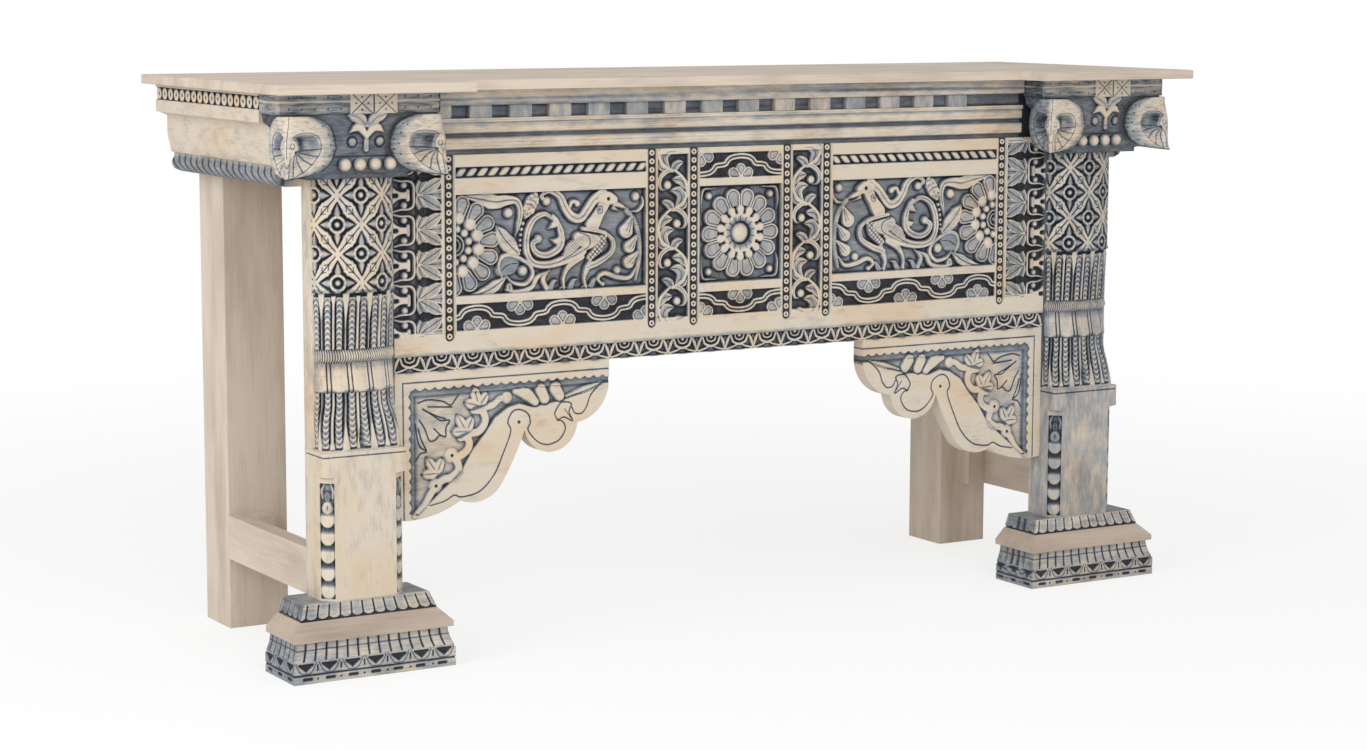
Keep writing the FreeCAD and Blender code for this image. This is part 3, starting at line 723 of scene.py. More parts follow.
def makeRosettePanel():
    board = boardFacts("rosette_panel")
    rows = boardRows(board, rosettePanel, "topRow", "flowerRow", "bottomRow")
    sheet = boardSheet(board, rosettePanel["step"], rosettePanel["depth"])
    u0, u1 = rosettePanel["margin"], board["width"] - rosettePanel["margin"]
    x, y = board["width"] / 2, sum(rows["flowerRow"]) / 2
    sinkField(sheet, u0, u1, *rows["topRow"], rosettePanel["bandDepth"], rosettePanel["bandTone"])
    sinkField(sheet, u0, u1, *rows["flowerRow"], rosettePanel["depth"], rosettePanel["flowerTone"])
    sinkField(sheet, u0, u1, *rows["bottomRow"], rosettePanel["bandDepth"], rosettePanel["bandTone"])
    fence(sheet)
    waveField(sheet, u0, u1, *rows["topRow"], x)
    waveField(sheet, u0, u1, *rows["bottomRow"], x - waveBand["reach"])
    rosette(sheet, x, y)
    ballX, ballY = rosettePanel["cornerBall"]
    for a in (-1, 1):
        for b in (-1, 1):
            corner = [(x + a * du, y + b * dv) for du, dv in rosettePanel["cornerLine"]]
            band(sheet, corner, (3, 6, 7, 6, 3), 7.0)
            ball(sheet, x + a * ballX, y + b * ballY, 7.5, 8.5)
    stainAndShade(sheet)
    carveBoard("rosettePanel", sheet, board, carvingUpright)


makeRosettePanel()


# Scroll strips: one curling cell after another, turned over each time
scrollStrip = {"step": 0.9, "depth": 8.0, "pitch": 63.0, "node": 243.0, "margin": 2.0, "low": 6.0,
               "high": 269.4, "tone": 0.78, "eye": (21, -23),
               "stem": ((34, 1), (50, -13), (57, -31), (51, -50), (31, -63)),
               "hook": ((36, 0), (21, 0), (8, -9), (5, -20), (9, -29), (17, -31)),
               "lobes": ((((56, -30), (47, -17), (29, -14)), (6, 17, 15, 2)),
                         (((37, -61), (47, -46), (42, -34), (25, -32)), (8, 18, 17, 2)),
                         (((31, -63), (22, -53), (9, -49)), (8, 16, 12, 2)),
                         (((41, -62), (52, -58), (57, -47)), (4, 10, 2)))}


def makeScrollStrip(word):
    board = boardFacts("scroll_strip_" + word)
    sheet = boardSheet(board, scrollStrip["step"], scrollStrip["depth"])
    sinkField(sheet, scrollStrip["margin"], board["width"] - scrollStrip["margin"], scrollStrip["low"],
              scrollStrip["high"], scrollStrip["depth"], scrollStrip["tone"])
    fence(sheet)
    for number in range(-1, 5):
        top = scrollStrip["node"] - scrollStrip["pitch"] * number

        def spots(points):
            return [(board["width"] - x if number % 2 else x, top + y) for x, y in points]

        for points, widths in scrollStrip["lobes"]:
            curl(sheet, spots(points), widths, 6.6, 0.06)
            groove(sheet, spots(points), 1.4, 0.9, 0.5)
        band(sheet, spots(scrollStrip["stem"]), (7, 8, 9, 8, 7), 7.4, 2.6, 0, 0.02)
        band(sheet, spots(scrollStrip["hook"]), (7, 10, 11, 10, 8, 3), 7.4, 2.6, 1.0, 0.02)
        ball(sheet, *spots([scrollStrip["eye"]])[0], 8.4, 8.4, -0.06)
    stainAndShade(sheet)
    carveBoard("scrollStrip_" + word, sheet, board, carvingUpright)


# Vine borders beside the posts: trefoils on the outside, palmettes on the inside
vineBorder = {"step": 0.95, "depth": 8.0, "pitch": 54.0, "middle": 193.0, "low": 6.0, "high": 269.4,
              "tone": 0.7, "innerEdge": 4.0, "outerEdge": 3.0, "extraDarkening": {"left": 0.0, "right": 0.2},
              "extraPaint": 0.25,
              "stem": ((36, 28), (36, 15), (33, 8), (25, 5), (13, 5), (1, 2)),
              "gap": ((41, 0), (54, 0), (74, 0)), "gapDepth": 4.0, "gapWash": 0.9}


def vineTrefoil(sheet, node, middle):
    # the pierced web between two balls, tied by a clasp
    half = vineBorder["pitch"] / 2
    near = nearby(sheet, [(-3, node), (31, node)], half)
    u, v = sheet["u"][near], sheet["v"][near]
    hole = np.hypot(u - 18, half - np.abs(v - node)) - 21
    lift(sheet, near, 7.4 * shoulder(np.minimum(hole, 30 - u), 2.0), -0.14)
    groove(sheet, [(-2, node), (6, node)], 9, 5.0, 0.8)
    band(sheet, [(25.5, node - 7), (25.5, node + 7)], (8, 8), 8.0, 2.0, 0, 0.22)
    for way in (-1, 1):
        ball(sheet, 20, middle + way * 11.4, 7.0, 7.6, 0.05)


def vinePalmette(sheet, node, middle):
    for way in (-1, 1):
        stem = [(x, middle + way * y) for x, y in vineBorder["stem"]]
        band(sheet, stem, (6, 6, 6, 5, 5, 4), 7.4, 2.0)
        curl(sheet, [(42, node), (47, node + way * 13), (57, node + way * 29)], (4, 15, 17, 3), 7.2, 0.16)
        curl(sheet, [(44, node), (63, node + way * 11), (84, node + way * 24)], (4, 19, 21, 3), 7.4, 0.12)
    curl(sheet, [(55, node), (70, node), (83, node)], (2, 12, 19), 7.0, 0.1)
    groove(sheet, [(50, node), (82, node)], 1.3, 0.8, 0.5)
    for way in (-1, 1):
        groove(sheet, [(46, node + way * 2), (63, node + way * 12), (80, node + way * 22)], 1.4, 1.0, 0.55)
        groove(sheet, [(43, node + way * 3), (48, node + way * 15), (55, node + way * 26)], 1.4, 1.0, 0.55)


def makeVineBorder(word):
    board = boardFacts("vine_border_" + word)
    sheet = boardSheet(board, vineBorder["step"], vineBorder["depth"])
    sinkField(sheet, -vineBorder["outerEdge"], board["width"] - vineBorder["innerEdge"], vineBorder["low"],
              vineBorder["high"], vineBorder["depth"], vineBorder["tone"])
    fence(sheet)
    # the right-hand border is darker than the left
    extraDarkening = vineBorder["extraDarkening"][word]
    sheet["tone"] += extraDarkening
    middles = [vineBorder["middle"] - vineBorder["pitch"] * number for number in range(-2, 5)]
    for middle in middles:
        vineTrefoil(sheet, middle + vineBorder["pitch"] / 2, middle)
        vinePalmette(sheet, middle + vineBorder["pitch"] / 2, middle)
    sheet["paint"] += vineBorder["extraPaint"] * extraDarkening
    for middle in middles:
        near, inside = stroke(sheet, [(x, middle + y) for x, y in vineBorder["gap"]], (2, 15, 9, 2))[:2]
        cutIn(sheet, near, smoothStep(-0.5, 1.2, inside), vineBorder["gapDepth"], vineBorder["gapWash"])
        sheet["h"][near] = np.maximum(sheet["h"][near], 0)
    stainAndShade(sheet)
    carveBoard("vineBorder_" + word, sheet, board, carvingUpright)


for word in sideSigns:
    makeScrollStrip(word)
    makeVineBorder(word)


# Bead strips: ring beads in a dark channel that ends in the bottom rail
beadStrip = {"names": ("outer", "inner", "centre"), "width": 18.6, "channel": 15.0, "depth": 4.0, "beads": 21,
             "ring": 3.25, "tube": 1.6, "sunk": 1.8, "end": 2.0, "topGap": 6.0, "lip": 0.8, "lipStep": 0.4,
             "edgeStep": 1.2, "channelStep": 3.0, "rowStep": 9.0, "edgeDarkening": 0.7}
channelCut = {"wall": (-0.5, 0.5), "wash": (-0.3, 0.7)}


def addRings(bm, spots, radius, tube, axis, rounds=14, sections=6, squash=1.0):
    # squash makes the rings lower along their axis
    out = Vector((radius, 0, 0)) if axis == "Y" else Vector((0, radius, 0))
    spinAxis = Vector((0, 1, 0)) if axis == "Y" else Vector((1, 0, 0))
    for spot in spots:
        spot = Vector(spot)
        place = Matrix.Translation(spot + out)
        verts = bmesh.ops.create_circle(bm, segments=sections, radius=tube, matrix=place)["verts"]
        start = len(bm.verts) - len(verts)
        edges = list({e for v in verts for e in v.link_edges})
        bmesh.ops.spin(bm, geom=verts + edges, cent=spot, axis=spinAxis, angle=2 * math.pi, steps=rounds,
                       use_merge=True)
        bm.verts.ensure_lookup_table()
        for vert in bm.verts[start:]:
            vert.co -= (vert.co - spot).project(spinAxis) * (1 - squash)


def makeBeadStrips(name):
    node = "bead_strips_" + name
    low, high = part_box(node)
    bm = newBench()
    height, middle, lip = (high.z - low.z) / mm, beadStrip["width"] / 2, beadStrip["lip"]
    edge = middle - beadStrip["channel"] / 2
    marks = [0, lip, edge - lip, edge + lip, middle]
    marks += [beadStrip["width"] - mark for mark in marks[-2::-1]]
    steps = [beadStrip[key] for key in ("lipStep", "edgeStep", "lipStep", "channelStep")]
    us = joinLines(*zip(marks, marks[1:], steps + steps[::-1]))
    pitch = (height + beadStrip["end"] - beadStrip["topGap"]) / (beadStrip["beads"] - 1)
    heights = [low.z + (number * pitch - beadStrip["end"]) * mm for number in range(beadStrip["beads"])]
    for side in sideSigns.values():
        board = {"side": side, "outer": high.x, "bottom": low.z, "front": low.y, "back": high.y}
        sheet = newSheet(us, evenLines(0, height, beadStrip["rowStep"]), beadStrip["depth"])
        away = np.abs(sheet["u"] - middle)
        inside = beadStrip["channel"] / 2 - away
        sheet["h"] -= beadStrip["depth"] * smoothStep(*channelCut["wall"], inside)
        sheet["wash"] = np.maximum(smoothStep(*channelCut["wash"], inside),
                                   beadStrip["edgeDarkening"] * smoothStep(middle - 0.9, middle - 0.1, away))
        carveSheet(bm, sheet, boardPlace(board, beadStrip["depth"]), "Y", high.y)
        x, y = side * (high.x - middle * mm), low.y + beadStrip["sunk"] * mm
        addRings(bm, [(x, y, z) for z in heights], beadStrip["ring"] * mm, beadStrip["tube"] * mm, "Y")
    finishPiece("beadStrips_" + name, bm, carvingUpright, node)


bottomRail = {"plainStep": 40.0, "fineStep": 0.7, "rowStep": 6.0, "fineRows": 10.0, "footWash": 0.35,
              "foot": 2.2}


def makeBottomRail():
    board = boardFacts("apron_bottom_rail")
    height, channel = board["height"], beadStrip["channel"] / 2
    centres = []
    for name in beadStrip["names"]:
        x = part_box("bead_strips_" + name)[1].x / mm - beadStrip["width"] / 2
        centres += [board["width"] / 2 - x, board["width"] / 2 + x]
    reach, runs, last = channel + 2, [], 0
    for centre in sorted(centres):
        runs += [(last, centre - reach, bottomRail["plainStep"]),
                 (centre - reach, centre + reach, bottomRail["fineStep"])]
        last = centre + reach
    fineStart = height - bottomRail["fineRows"]
    vs = joinLines((0, fineStart, bottomRail["rowStep"]), (fineStart, height, bottomRail["fineStep"]))
    runs.append((last, board["width"], bottomRail["plainStep"]))
    sheet = newSheet(joinLines(*runs), vs, beadStrip["depth"])
    nearest = np.min([np.abs(sheet["u"] - centre) for centre in centres], axis=0)
    drop = np.maximum(height - beadStrip["end"] - sheet["v"], 0)
    inside = channel - np.hypot(nearest, drop)
    sheet["h"] -= beadStrip["depth"] * smoothStep(*channelCut["wall"], inside)
    sheet["wash"] = np.maximum(smoothStep(*channelCut["wash"], inside),
                               bottomRail["footWash"] * smoothStep(bottomRail["foot"], 0, sheet["v"]))
    carveBoard("bottomRail", sheet, board, carvingAcross)


for name in beadStrip["names"]:
    makeBeadStrips(name)
makeBottomRail()


# Lotus band under the rail
lotusBand = {"step": 0.8, "units": 23, "depth": 5.0, "tone": 0.64, "low": 1.0, "topEdge": 1.2, "overrun": 3.0,
             "arches": ((16.5, 5.0), (9.0, 3.8)), "archBend": 0.72}


def makeLotusBand():
    board = boardFacts("lotus_band")
    sheet = boardSheet(board, lotusBand["step"], lotusBand["depth"])
    top, pitch = board["height"] - lotusBand["topEdge"], board["width"] / lotusBand["units"]
    sinkField(sheet, -lotusBand["overrun"], board["width"] + lotusBand["overrun"], lotusBand["low"], top,
              lotusBand["depth"], lotusBand["tone"])
    for number in range(lotusBand["units"] + 1):
        middle, edge = (number + 0.5) * pitch, number * pitch
        ball(sheet, middle, 0.5, 9, 3.4, 0.36)
        for way in (-1, 1):
            for reach, wide in lotusBand["arches"]:
                bend = reach * lotusBand["archBend"]
                arch = [(middle, top - reach), (middle + way * bend, top - bend), (middle + way * reach, top)]
                band(sheet, arch, (wide, wide, wide * 0.8), 4.6, 1.4)
            stalk = [(edge + way, 5), (edge + way * 4, 15), (edge + way * 9, top)]
            band(sheet, stalk, (4, 6.5, 5), 4.6, 1.8, 0.6)
            tendril = [(edge + way * 3, 2.5), (edge + way * 14, 5), (edge + way * 25, 9)]
            band(sheet, tendril, (4, 4.4, 3), 4.4, 1.4)
        ball(sheet, middle, top - 1, 4.2, 4.8)
        leaf(sheet, (edge, 17), (edge, top + 1), 6, 4.0, 0, 0.8, 0.3)
        ball(sheet, edge, 4.4, 4.0, 4.8)
    stainAndShade(sheet, 1.2)
    carveBoard("lotusBand", sheet, board, carvingAcross)


makeLotusBand()


# Frieze: fascia, dentils and moulding
frieze = {"step": 5.0, "rowStep": 2.5, "fasciaWash": 0.2, "dentilWash": 0.62, "streaks": 0.17,
          "streakLength": 14}
dentil = {"count": 15, "pitch": 70.0, "width": 39.0, "bevel": 1.5, "wash": 0.22, "washStep": 0.06,
          "sharp": 30}
moulding = {"step": 7.0, "rowStep": 0.8, "grooves": ((-20, 9), (25, 34)), "depth": 8.0, "round": 4.5,
            "grooveWash": 0.62, "ledge": 50.0, "ledgeReach": 3.0, "wash": 0.1, "ledgeShade": 0.3,
            "streaks": 0.07}


def washedBox(bm, low, high, washes, bevel):
    # washes are for the left and the right edge of the front; the back has the paler one
    middle = (low + high) / 2
    shape = Matrix.Translation(middle) @ Matrix.Diagonal((high - low).to_4d())
    verts = bmesh.ops.create_cube(bm, size=1, matrix=shape)["verts"]
    for vert in verts:
        wash = washes[vert.co.x > middle.x] if vert.co.y < middle.y else min(washes)
        vert[bm.verts.layers.float["wash"]] = wash
    edges = list({e for v in verts for e in v.link_edges})
    bmesh.ops.bevel(bm, geom=edges, offset=bevel, segments=2, profile=0.5, affect="EDGES", material=-1)


def makeFriezeBoard(name, node, wash, seed):
    board = boardFacts(node)
    sheet = boardSheet(board, frieze["step"], 0.0, frieze["rowStep"])
    sheet["paint"] += wash
    weather(sheet, frieze["streaks"], seed, frieze["streakLength"])
    stainAndShade(sheet)
    carveBoard(name, sheet, board, carvingAcross)


def makeDentilBlocks():
    low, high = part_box("dentil_blocks")
    bm = newBench()
    for number in range(dentil["count"]):
        start = low.x + number * dentil["pitch"] * mm
        wash = dentil["wash"] + dentil["washStep"] * (number % 3)
        end = Vector((start + dentil["width"] * mm, high.y, high.z))
        washedBox(bm, Vector((start, low.y, low.z)), end, (wash, wash), dentil["bevel"] * mm)
    finishPiece("dentilBlocks", bm, carvingUpright, "dentil_blocks", dentil["sharp"])


def makeFriezeMoulding():
    board = boardFacts("frieze_moulding")
    ledge, reach = moulding["ledge"], moulding["ledgeReach"]
    sheet = boardSheet(board, moulding["step"], reach, moulding["rowStep"])
    v = sheet["v"]
    sheet["h"] = reach * smoothStep(ledge - 0.6, ledge + 0.6, v)
    weather(sheet, moulding["streaks"], 5, frieze["streakLength"])
    # painted shade just under the ledge
    underLedge = smoothStep(ledge - 8, ledge, v) * (v < ledge)
    sheet["wash"] = sheet["paint"] + moulding["wash"] + moulding["ledgeShade"] * underLedge
    for start, end in moulding["grooves"]:
        inside = np.minimum(v - start, end - v)
        sheet["h"] -= moulding["depth"] * shoulder(inside, moulding["round"])
        sheet["wash"] = np.maximum(sheet["wash"], moulding["grooveWash"] * smoothStep(-0.6, 2, inside))
    sheet["wash"] = np.clip(sheet["wash"], 0, 1)
    carveBoard("friezeMoulding", sheet, board, carvingAcross)


makeFriezeBoard("friezeFascia", "frieze_fascia", frieze["fasciaWash"], 3)
makeFriezeBoard("dentilStrip", "dentil_strip", frieze["dentilWash"], 4)
makeDentilBlocks()
makeFriezeMoulding()


# Wrapped carvings: a sheet bent round a block or a column
def plainBack(sheet):
    # the back face shares the first and last columns
    sheet["wash"][:, [0, -1]] = carving["backWash"]


def carveBlock(bm, sheet, place):
    # the sheet goes round the seen sides; both ends and the back are closed with flat faces
    columns = sheet["h"].shape[1]
    made = shapeGrid(bm, sheet, place)
    rows = made[:columns], made[-columns:]
    ends = made[::columns], made[columns - 1::columns]
    ties = [bmesh.ops.contextual_create(bm, geom=[row[0], row[-1]])["edges"][0] for row in rows]
    for row, tie in zip(rows, ties):
        bmesh.ops.contextual_create(bm, geom=[bm.edges.get(pair) for pair in zip(row, row[1:])] + [tie])
    rails = [bm.edges.get(pair) for end in ends for pair in zip(end, end[1:])]
    bmesh.ops.contextual_create(bm, geom=rails + ties)


def wrapPiece(name, sheet, place, material, node, sharp=48):
    bm = newBench()
    carveBlock(bm, sheet, place)
    finishPiece(name, bm, material, node, sharp)


def wrapPlace(knots, cornersAt, lay):
    # u goes round straight sides between corners that move with v; h goes out from the side
    def place(u, v, h):
        corners = cornersAt(v)
        x, y, outX, outY = u * 0, u * 0, u * 0, u * 0
        for start, end, (ax, ay), (bx, by) in zip(knots, knots[1:], corners, corners[1:]):
            on = (u > start - 1e-6) & (u < end + 1e-6)
            t, length = (u - start) / (end - start), np.hypot(bx - ax, by - ay)
            x = np.where(on, ax + t * (bx - ax), x)
            y = np.where(on, ay + t * (by - ay), y)
            outX = outX + np.where(on, (by - ay) / length, 0)
            outY = outY - np.where(on, (bx - ax) / length, 0)
        size = outX * outX + outY * outY
        mitre = np.where(size > 1.001, 2 / np.maximum(size, 0.1), 1)  # on a corner two sides add up
        return lay(x + h * outX * mitre, y + h * outY * mitre, v)
    return place


def postLay(side, centre, back, bottom):
    # plan across from the post's middle line, forwards from the back, then height
    def lay(across, forwards, v):
        return side * (centre + across * mm), back - forwards * mm, bottom + v * mm
    return lay


def blockFacts(node):
    low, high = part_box(node)
    return {"side": 1 if low.x > 0 else -1, "centre": abs(low.x + high.x) / 2, "back": high.y,
            "bottom": low.z, "half": (high.x - low.x) / 2 / mm, "depth": (high.y - low.y) / mm,
            "height": (high.z - low.z) / mm}


def blockSheet(block, step, innerStep, rowStep):
    # the outer side from back to front, the front, then the inner side
    sides = block["depth"], 2 * block["half"], block["depth"]
    knots = np.concatenate([[0], np.cumsum(sides)])
    us = joinLines(*zip(knots, knots[1:], (step, step, innerStep)))
    return knots, newSheet(us, evenLines(0, block["height"], rowStep))


def blockPlace(block, knots, sideInset, frontInset, innerStart=0.0):
    # the inner side may stop in front of the back
    def cornersAt(v):
        wide, deep = block["half"] - sideInset(v), block["depth"] - frontInset(v)
        return (wide, v * 0), (wide, deep), (-wide, deep), (-wide, v * 0 + innerStart)

    lay = postLay(block["side"], block["centre"], block["back"], block["bottom"])
    return wrapPlace(knots, cornersAt, lay)


# Brackets under the apron: s runs inwards from the post, t downwards from the rail
bracket = {"columns": 380, "rows": 190, "border": 15.0, "borderEnds": (380.0, 229.0),
           "borderLine": (2.3, 1.2, 0.9), "scallop": 16.6, "scallopEdge": (23.5, 4.0), "strip": 2.4,
           "field": 5.0, "fieldEdge": (34.0, 36.0), "fieldTone": 0.16, "stripShade": 0.5, "slopeShade": 0.5,
           "vineHeight": 4.2, "rubbed": -0.1, "trefoilSize": 1.25, "eye": (3.0, 2.0, 1.0)}
bracketLines = {
    "vine": ((32, 225), (51, 208), (62, 192), (71, 180), (85, 171), (97, 169), (110, 159), (109, 146),
             (99, 133), (110, 137), (125, 129), (130, 118), (125, 107), (115, 107), (133, 102), (148, 99),
             (158, 84), (153, 68), (138, 65), (156, 62), (171, 60), (184, 51), (196, 50)),
    "vineHalo": (6, 12, 12, 12, 12, 12, 12, 10),
    "vineWidths": (7, 13.5, 13.5, 13.5, 13.5, 13.5, 13.5, 10),
    "eyes": ((71, 180), (99, 134)),
    "tip": (197, 50),
    "slope": ((40, 222), (85, 185), (115, 160), (135, 128), (158, 102), (174, 80), (197, 66), (218, 61),
              (241, 68), (291, 62), (320, 54), (366, 38)),
    "buds": ((((212, 41), (232, 47), (247, 60)), (10, 21, 15)), (((257, 42), (264, 56)), (20, 19)),
             (((283, 41), (291, 53)), (21, 19)), (((303, 55), (322, 49), (366, 37)), (4, 10, 4))),
    "edgeLine": ((60, 210), (85, 205), (102, 197), (115, 201), (146, 195), (171, 172), (187, 141), (202, 104),
                 (197, 89), (205, 73), (218, 70), (233, 78), (237, 92), (233, 104), (249, 123), (268, 130),
                 (289, 124), (300, 107), (295, 95), (285, 92)),
    "edgeEye": (217, 90),
    "endLine": ((312, 73), (318, 83), (330, 84), (339, 74), (347, 55), (366, 37)),
    "endLeaf": ((287, 92), (281, 82), (286, 72), (294, 64), (311, 67), (307, 80), (313, 95), (298, 88),
                (287, 92)),
    "endVein": ((299, 75), (310, 90)),
    "leaves": (((43, 48), (60, 44), (85, 48), (99, 55), (107, 47), (113, 40)),
               ((60, 55), (85, 57), (101, 58)),
               ((51, 58), (67, 68), (82, 78), (97, 79), (91, 90), (90, 104), (80, 101), (72, 108), (62, 108),
                (54, 89), (45, 75)),
               ((70, 90), (82, 102)), ((38, 81), (41, 102), (46, 117), (57, 125), (46, 128), (38, 139)),
               ((43, 89), (48, 106), (56, 122)), ((63, 65), (76, 71), (90, 76))),
    "trefoils": (((73, 160), 0.6), ((125, 98), 0.55), ((147, 59), 0.3)),
}


def bracketField(sheet):
    # a scalloped strip along both straight edges, then a sunk field above the vine's slope; painted shade
    # lies under the scallops and along the field's wall
    s, t = sheet["u"], sheet["v"]
    edge = np.minimum(s, t)
    along = np.where(s < t, t, s)
    edgeReach, bow = bracket["scallopEdge"]
    scallop = edgeReach + bow * np.abs(np.sin((along - 20) * math.pi / bracket["scallop"]))
    strip = smoothStep(0, 1.6, edge - scallop)
    slope = np.array(bracketLines["slope"], float)
    above = 0.75 * (np.interp(s, slope[:, 0], slope[:, 1]) - t)
    fieldStart, fieldTop = bracket["fieldEdge"]
    inside = np.minimum(np.minimum(s - fieldStart, t - fieldTop), above)
    sheet["h"] -= bracket["strip"] * strip * smoothStep(-1, 3, above)
    sheet["h"] -= (bracket["field"] - bracket["strip"]) * smoothStep(-0.6, 3.0, inside)
    # painted shade on the sunk strip just under the scallops
    stripShade = bracket["stripShade"] * strip * smoothStep(46, 32, edge) * smoothStep(-1, 1, above)
    # painted shade along the field's wall under the vine's slope
    nearSlope = np.exp(-np.maximum(above, 0) / 7) * smoothStep(-2, 1.5, above) * smoothStep(-4, 0, inside)
    sheet["paint"] = stripShade + bracket["slopeShade"] * nearSlope
    field = inside > -0.6
    sheet["ground"] = np.where(field, -bracket["field"], sheet["ground"])
    sheet["tone"] = np.where(field, bracket["fieldTone"], 0.0)


def trefoil(sheet, spot, turn, size):
    spot = np.array(spot, float)
    tips = [spot - length * size * np.array([math.sin(turn + lean), math.cos(turn + lean)])
            for lean, length in ((-1.0, 20), (0, 25), (1.0, 20))]
    for tip in tips:
        halo(sheet, [spot, (spot + tip) / 2, tip], (6, 15 * size, 2))
    for tip in tips:
        leaf(sheet, spot, tip, 15 * size, 4.2, 0, 0.9, -0.12)
        groove(sheet, [spot, tip], 1.3, 0.6, 0.55)


def bracketCarving(sheet):
    rubbed, border = bracket["rubbed"], bracket["border"]
    halo(sheet, bracketLines["vine"], bracketLines["vineHalo"])
    band(sheet, bracketLines["vine"], bracketLines["vineWidths"], bracket["vineHeight"], 1.8, 0, rubbed)
    for spot in bracketLines["eyes"]:
        ball(sheet, *spot, 12.5, 4.4, rubbed)
        pit(sheet, *spot, *bracket["eye"])
    ball(sheet, *bracketLines["tip"], 10, 5.0, rubbed)
    for points, widths in bracketLines["buds"]:
        halo(sheet, points, widths, 0.75)
        band(sheet, points, widths, 4.8, 3.4, 0, -0.06)
    for spot, turn in bracketLines["trefoils"]:
        trefoil(sheet, spot, turn, bracket["trefoilSize"])
    for points in bracketLines["leaves"]:
        groove(sheet, points, 3.0, 1.2, 0.85)
    across, down = bracket["borderEnds"]
    groove(sheet, [(border, down), (border, border)], *bracket["borderLine"])
    groove(sheet, [(border, border), (across, border)], *bracket["borderLine"])
    for name in ("edgeLine", "endLine", "endLeaf"):
        groove(sheet, bracketLines[name], 2.8, 1.2, 0.95)
    groove(sheet, bracketLines["endVein"], 2.0, 0.8, 0.8)
    pit(sheet, *bracketLines["edgeEye"], *bracket["eye"])


def makeBracket(word):
    node, side = "bracket_" + word, sideSigns[word]
    low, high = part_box(node)
    inner = max(abs(low.x), abs(high.x))
    spots = np.array([v.co[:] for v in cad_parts[node].data.vertices])
    reach, drop = (inner - np.abs(spots[:, 0])) / mm, (high.z - spots[:, 2]) / mm
    outline = {}  # lowest point of the solid at each place along it
    for s, t in zip(np.round(reach, 2), drop):
        outline[s] = max(t, outline.get(s, 0))
    places = sorted(outline)
    s = np.linspace(0, places[-1], bracket["columns"] + 1)
    depth = np.interp(s, places, [outline[p] for p in places])
    u, v = np.meshgrid(s, np.linspace(0, depth.max(), bracket["rows"] + 1))
    sheet = sheetOn(u, np.minimum(v, depth))
    bracketField(sheet)
    bracketCarving(sheet)
    stainAndShade(sheet, 1.6, 0.08)

    def place(u, v, h):
        return side * (inner - u * mm), low.y - h * mm, high.z - v * mm

    bm = newBench()
    carveSheet(bm, sheet, place, "Y", high.y)
    bmesh.ops.remove_doubles(bm, verts=bm.verts, dist=2e-6)
    finishPiece("bracket_" + word + "_carved", bm, carvingAcross, node)


for word in sideSigns:
    makeBracket(word)


# Front posts: die with carved chamfers, then a half column with flare, bell, ring, leaf band and lattice
post = {"step": 1.0, "reach": 68.0, "bulge": 38.5, "square": 4.5, "squareTop": 75.0, "boardWash": (0.1, 0.75),
        "boardBevel": 1.0, "overlap": 0.2, "sunk": 2.0, "sideDarkening": {-1: 0.04, 1: 0.17},
        "levels": {"flare": (0, 88), "bell": (88, 133), "ring": (133, 154), "leaf": (154, 240),
                   "lattice": (240, 414)},
        "width": ((0, 1.0), (20, 0.985), (85, 0.965), (92, 0.98), (132, 0.955), (143.5, 0.98), (156, 0.955),
                  (239, 0.98), (246, 0.985), (414, 0.985)),
        "bulgeShare": ((0, 1.0), (14, 0.93), (50, 0.76), (85, 0.68), (88, 0.7), (89, 0.82), (94, 0.85),
                       (112, 0.72), (132, 0.6), (134, 0.64), (139, 0.84), (143.5, 0.91), (148, 0.84),
                       (153, 0.68), (155, 0.7), (190, 0.77), (232, 0.88), (239, 0.9), (241, 0.97),
                       (246, 0.985), (414, 0.985))}
lattice = {"flower": (38.5, 44.0), "flowerRow": 388.0, "depth": 6.0, "tone": 0.95, "size": 41.0,
           "halfSpan": 29.0, "opening": 17.4, "point": (10.2, 33.0), "leaf": (8.2, 32.0), "taper": 15.0,
           "ring": 11.4, "ringHalf": 3.4, "boss": 5.8, "rim": 3.0, "rimPitch": 24.0}
feathers = {"rib": 40.0, "ribStart": 0.62, "depth": 5.0, "scale": 8.6, "scaleRow": 9.6, "upTone": 0.72,
            "downTone": 0.58}
collar = {"reed": 4.2, "reedDepth": 2.2, "half": 10.5, "petal": 35.0, "line": 3.4, "hem": (7.0, 4.0)}
die = {"half": 69.0, "depth": 69.5, "top": 228.5, "chamfer": 18.0, "chamferFace": 25.5, "chamferTop": 190.0,
       "softEdge": 0.6, "channelHalf": 11.5, "channel": (3.0, 181.0), "channelDepth": 4.0,
       "channelTone": 0.42, "drops": 5, "dropPitch": 27.5, "dropWidth": 23.0, "topLine": 7.0,
       "topRows": 14.0, "sideDarkening": {-1: 0.02, 1: 0.28}}


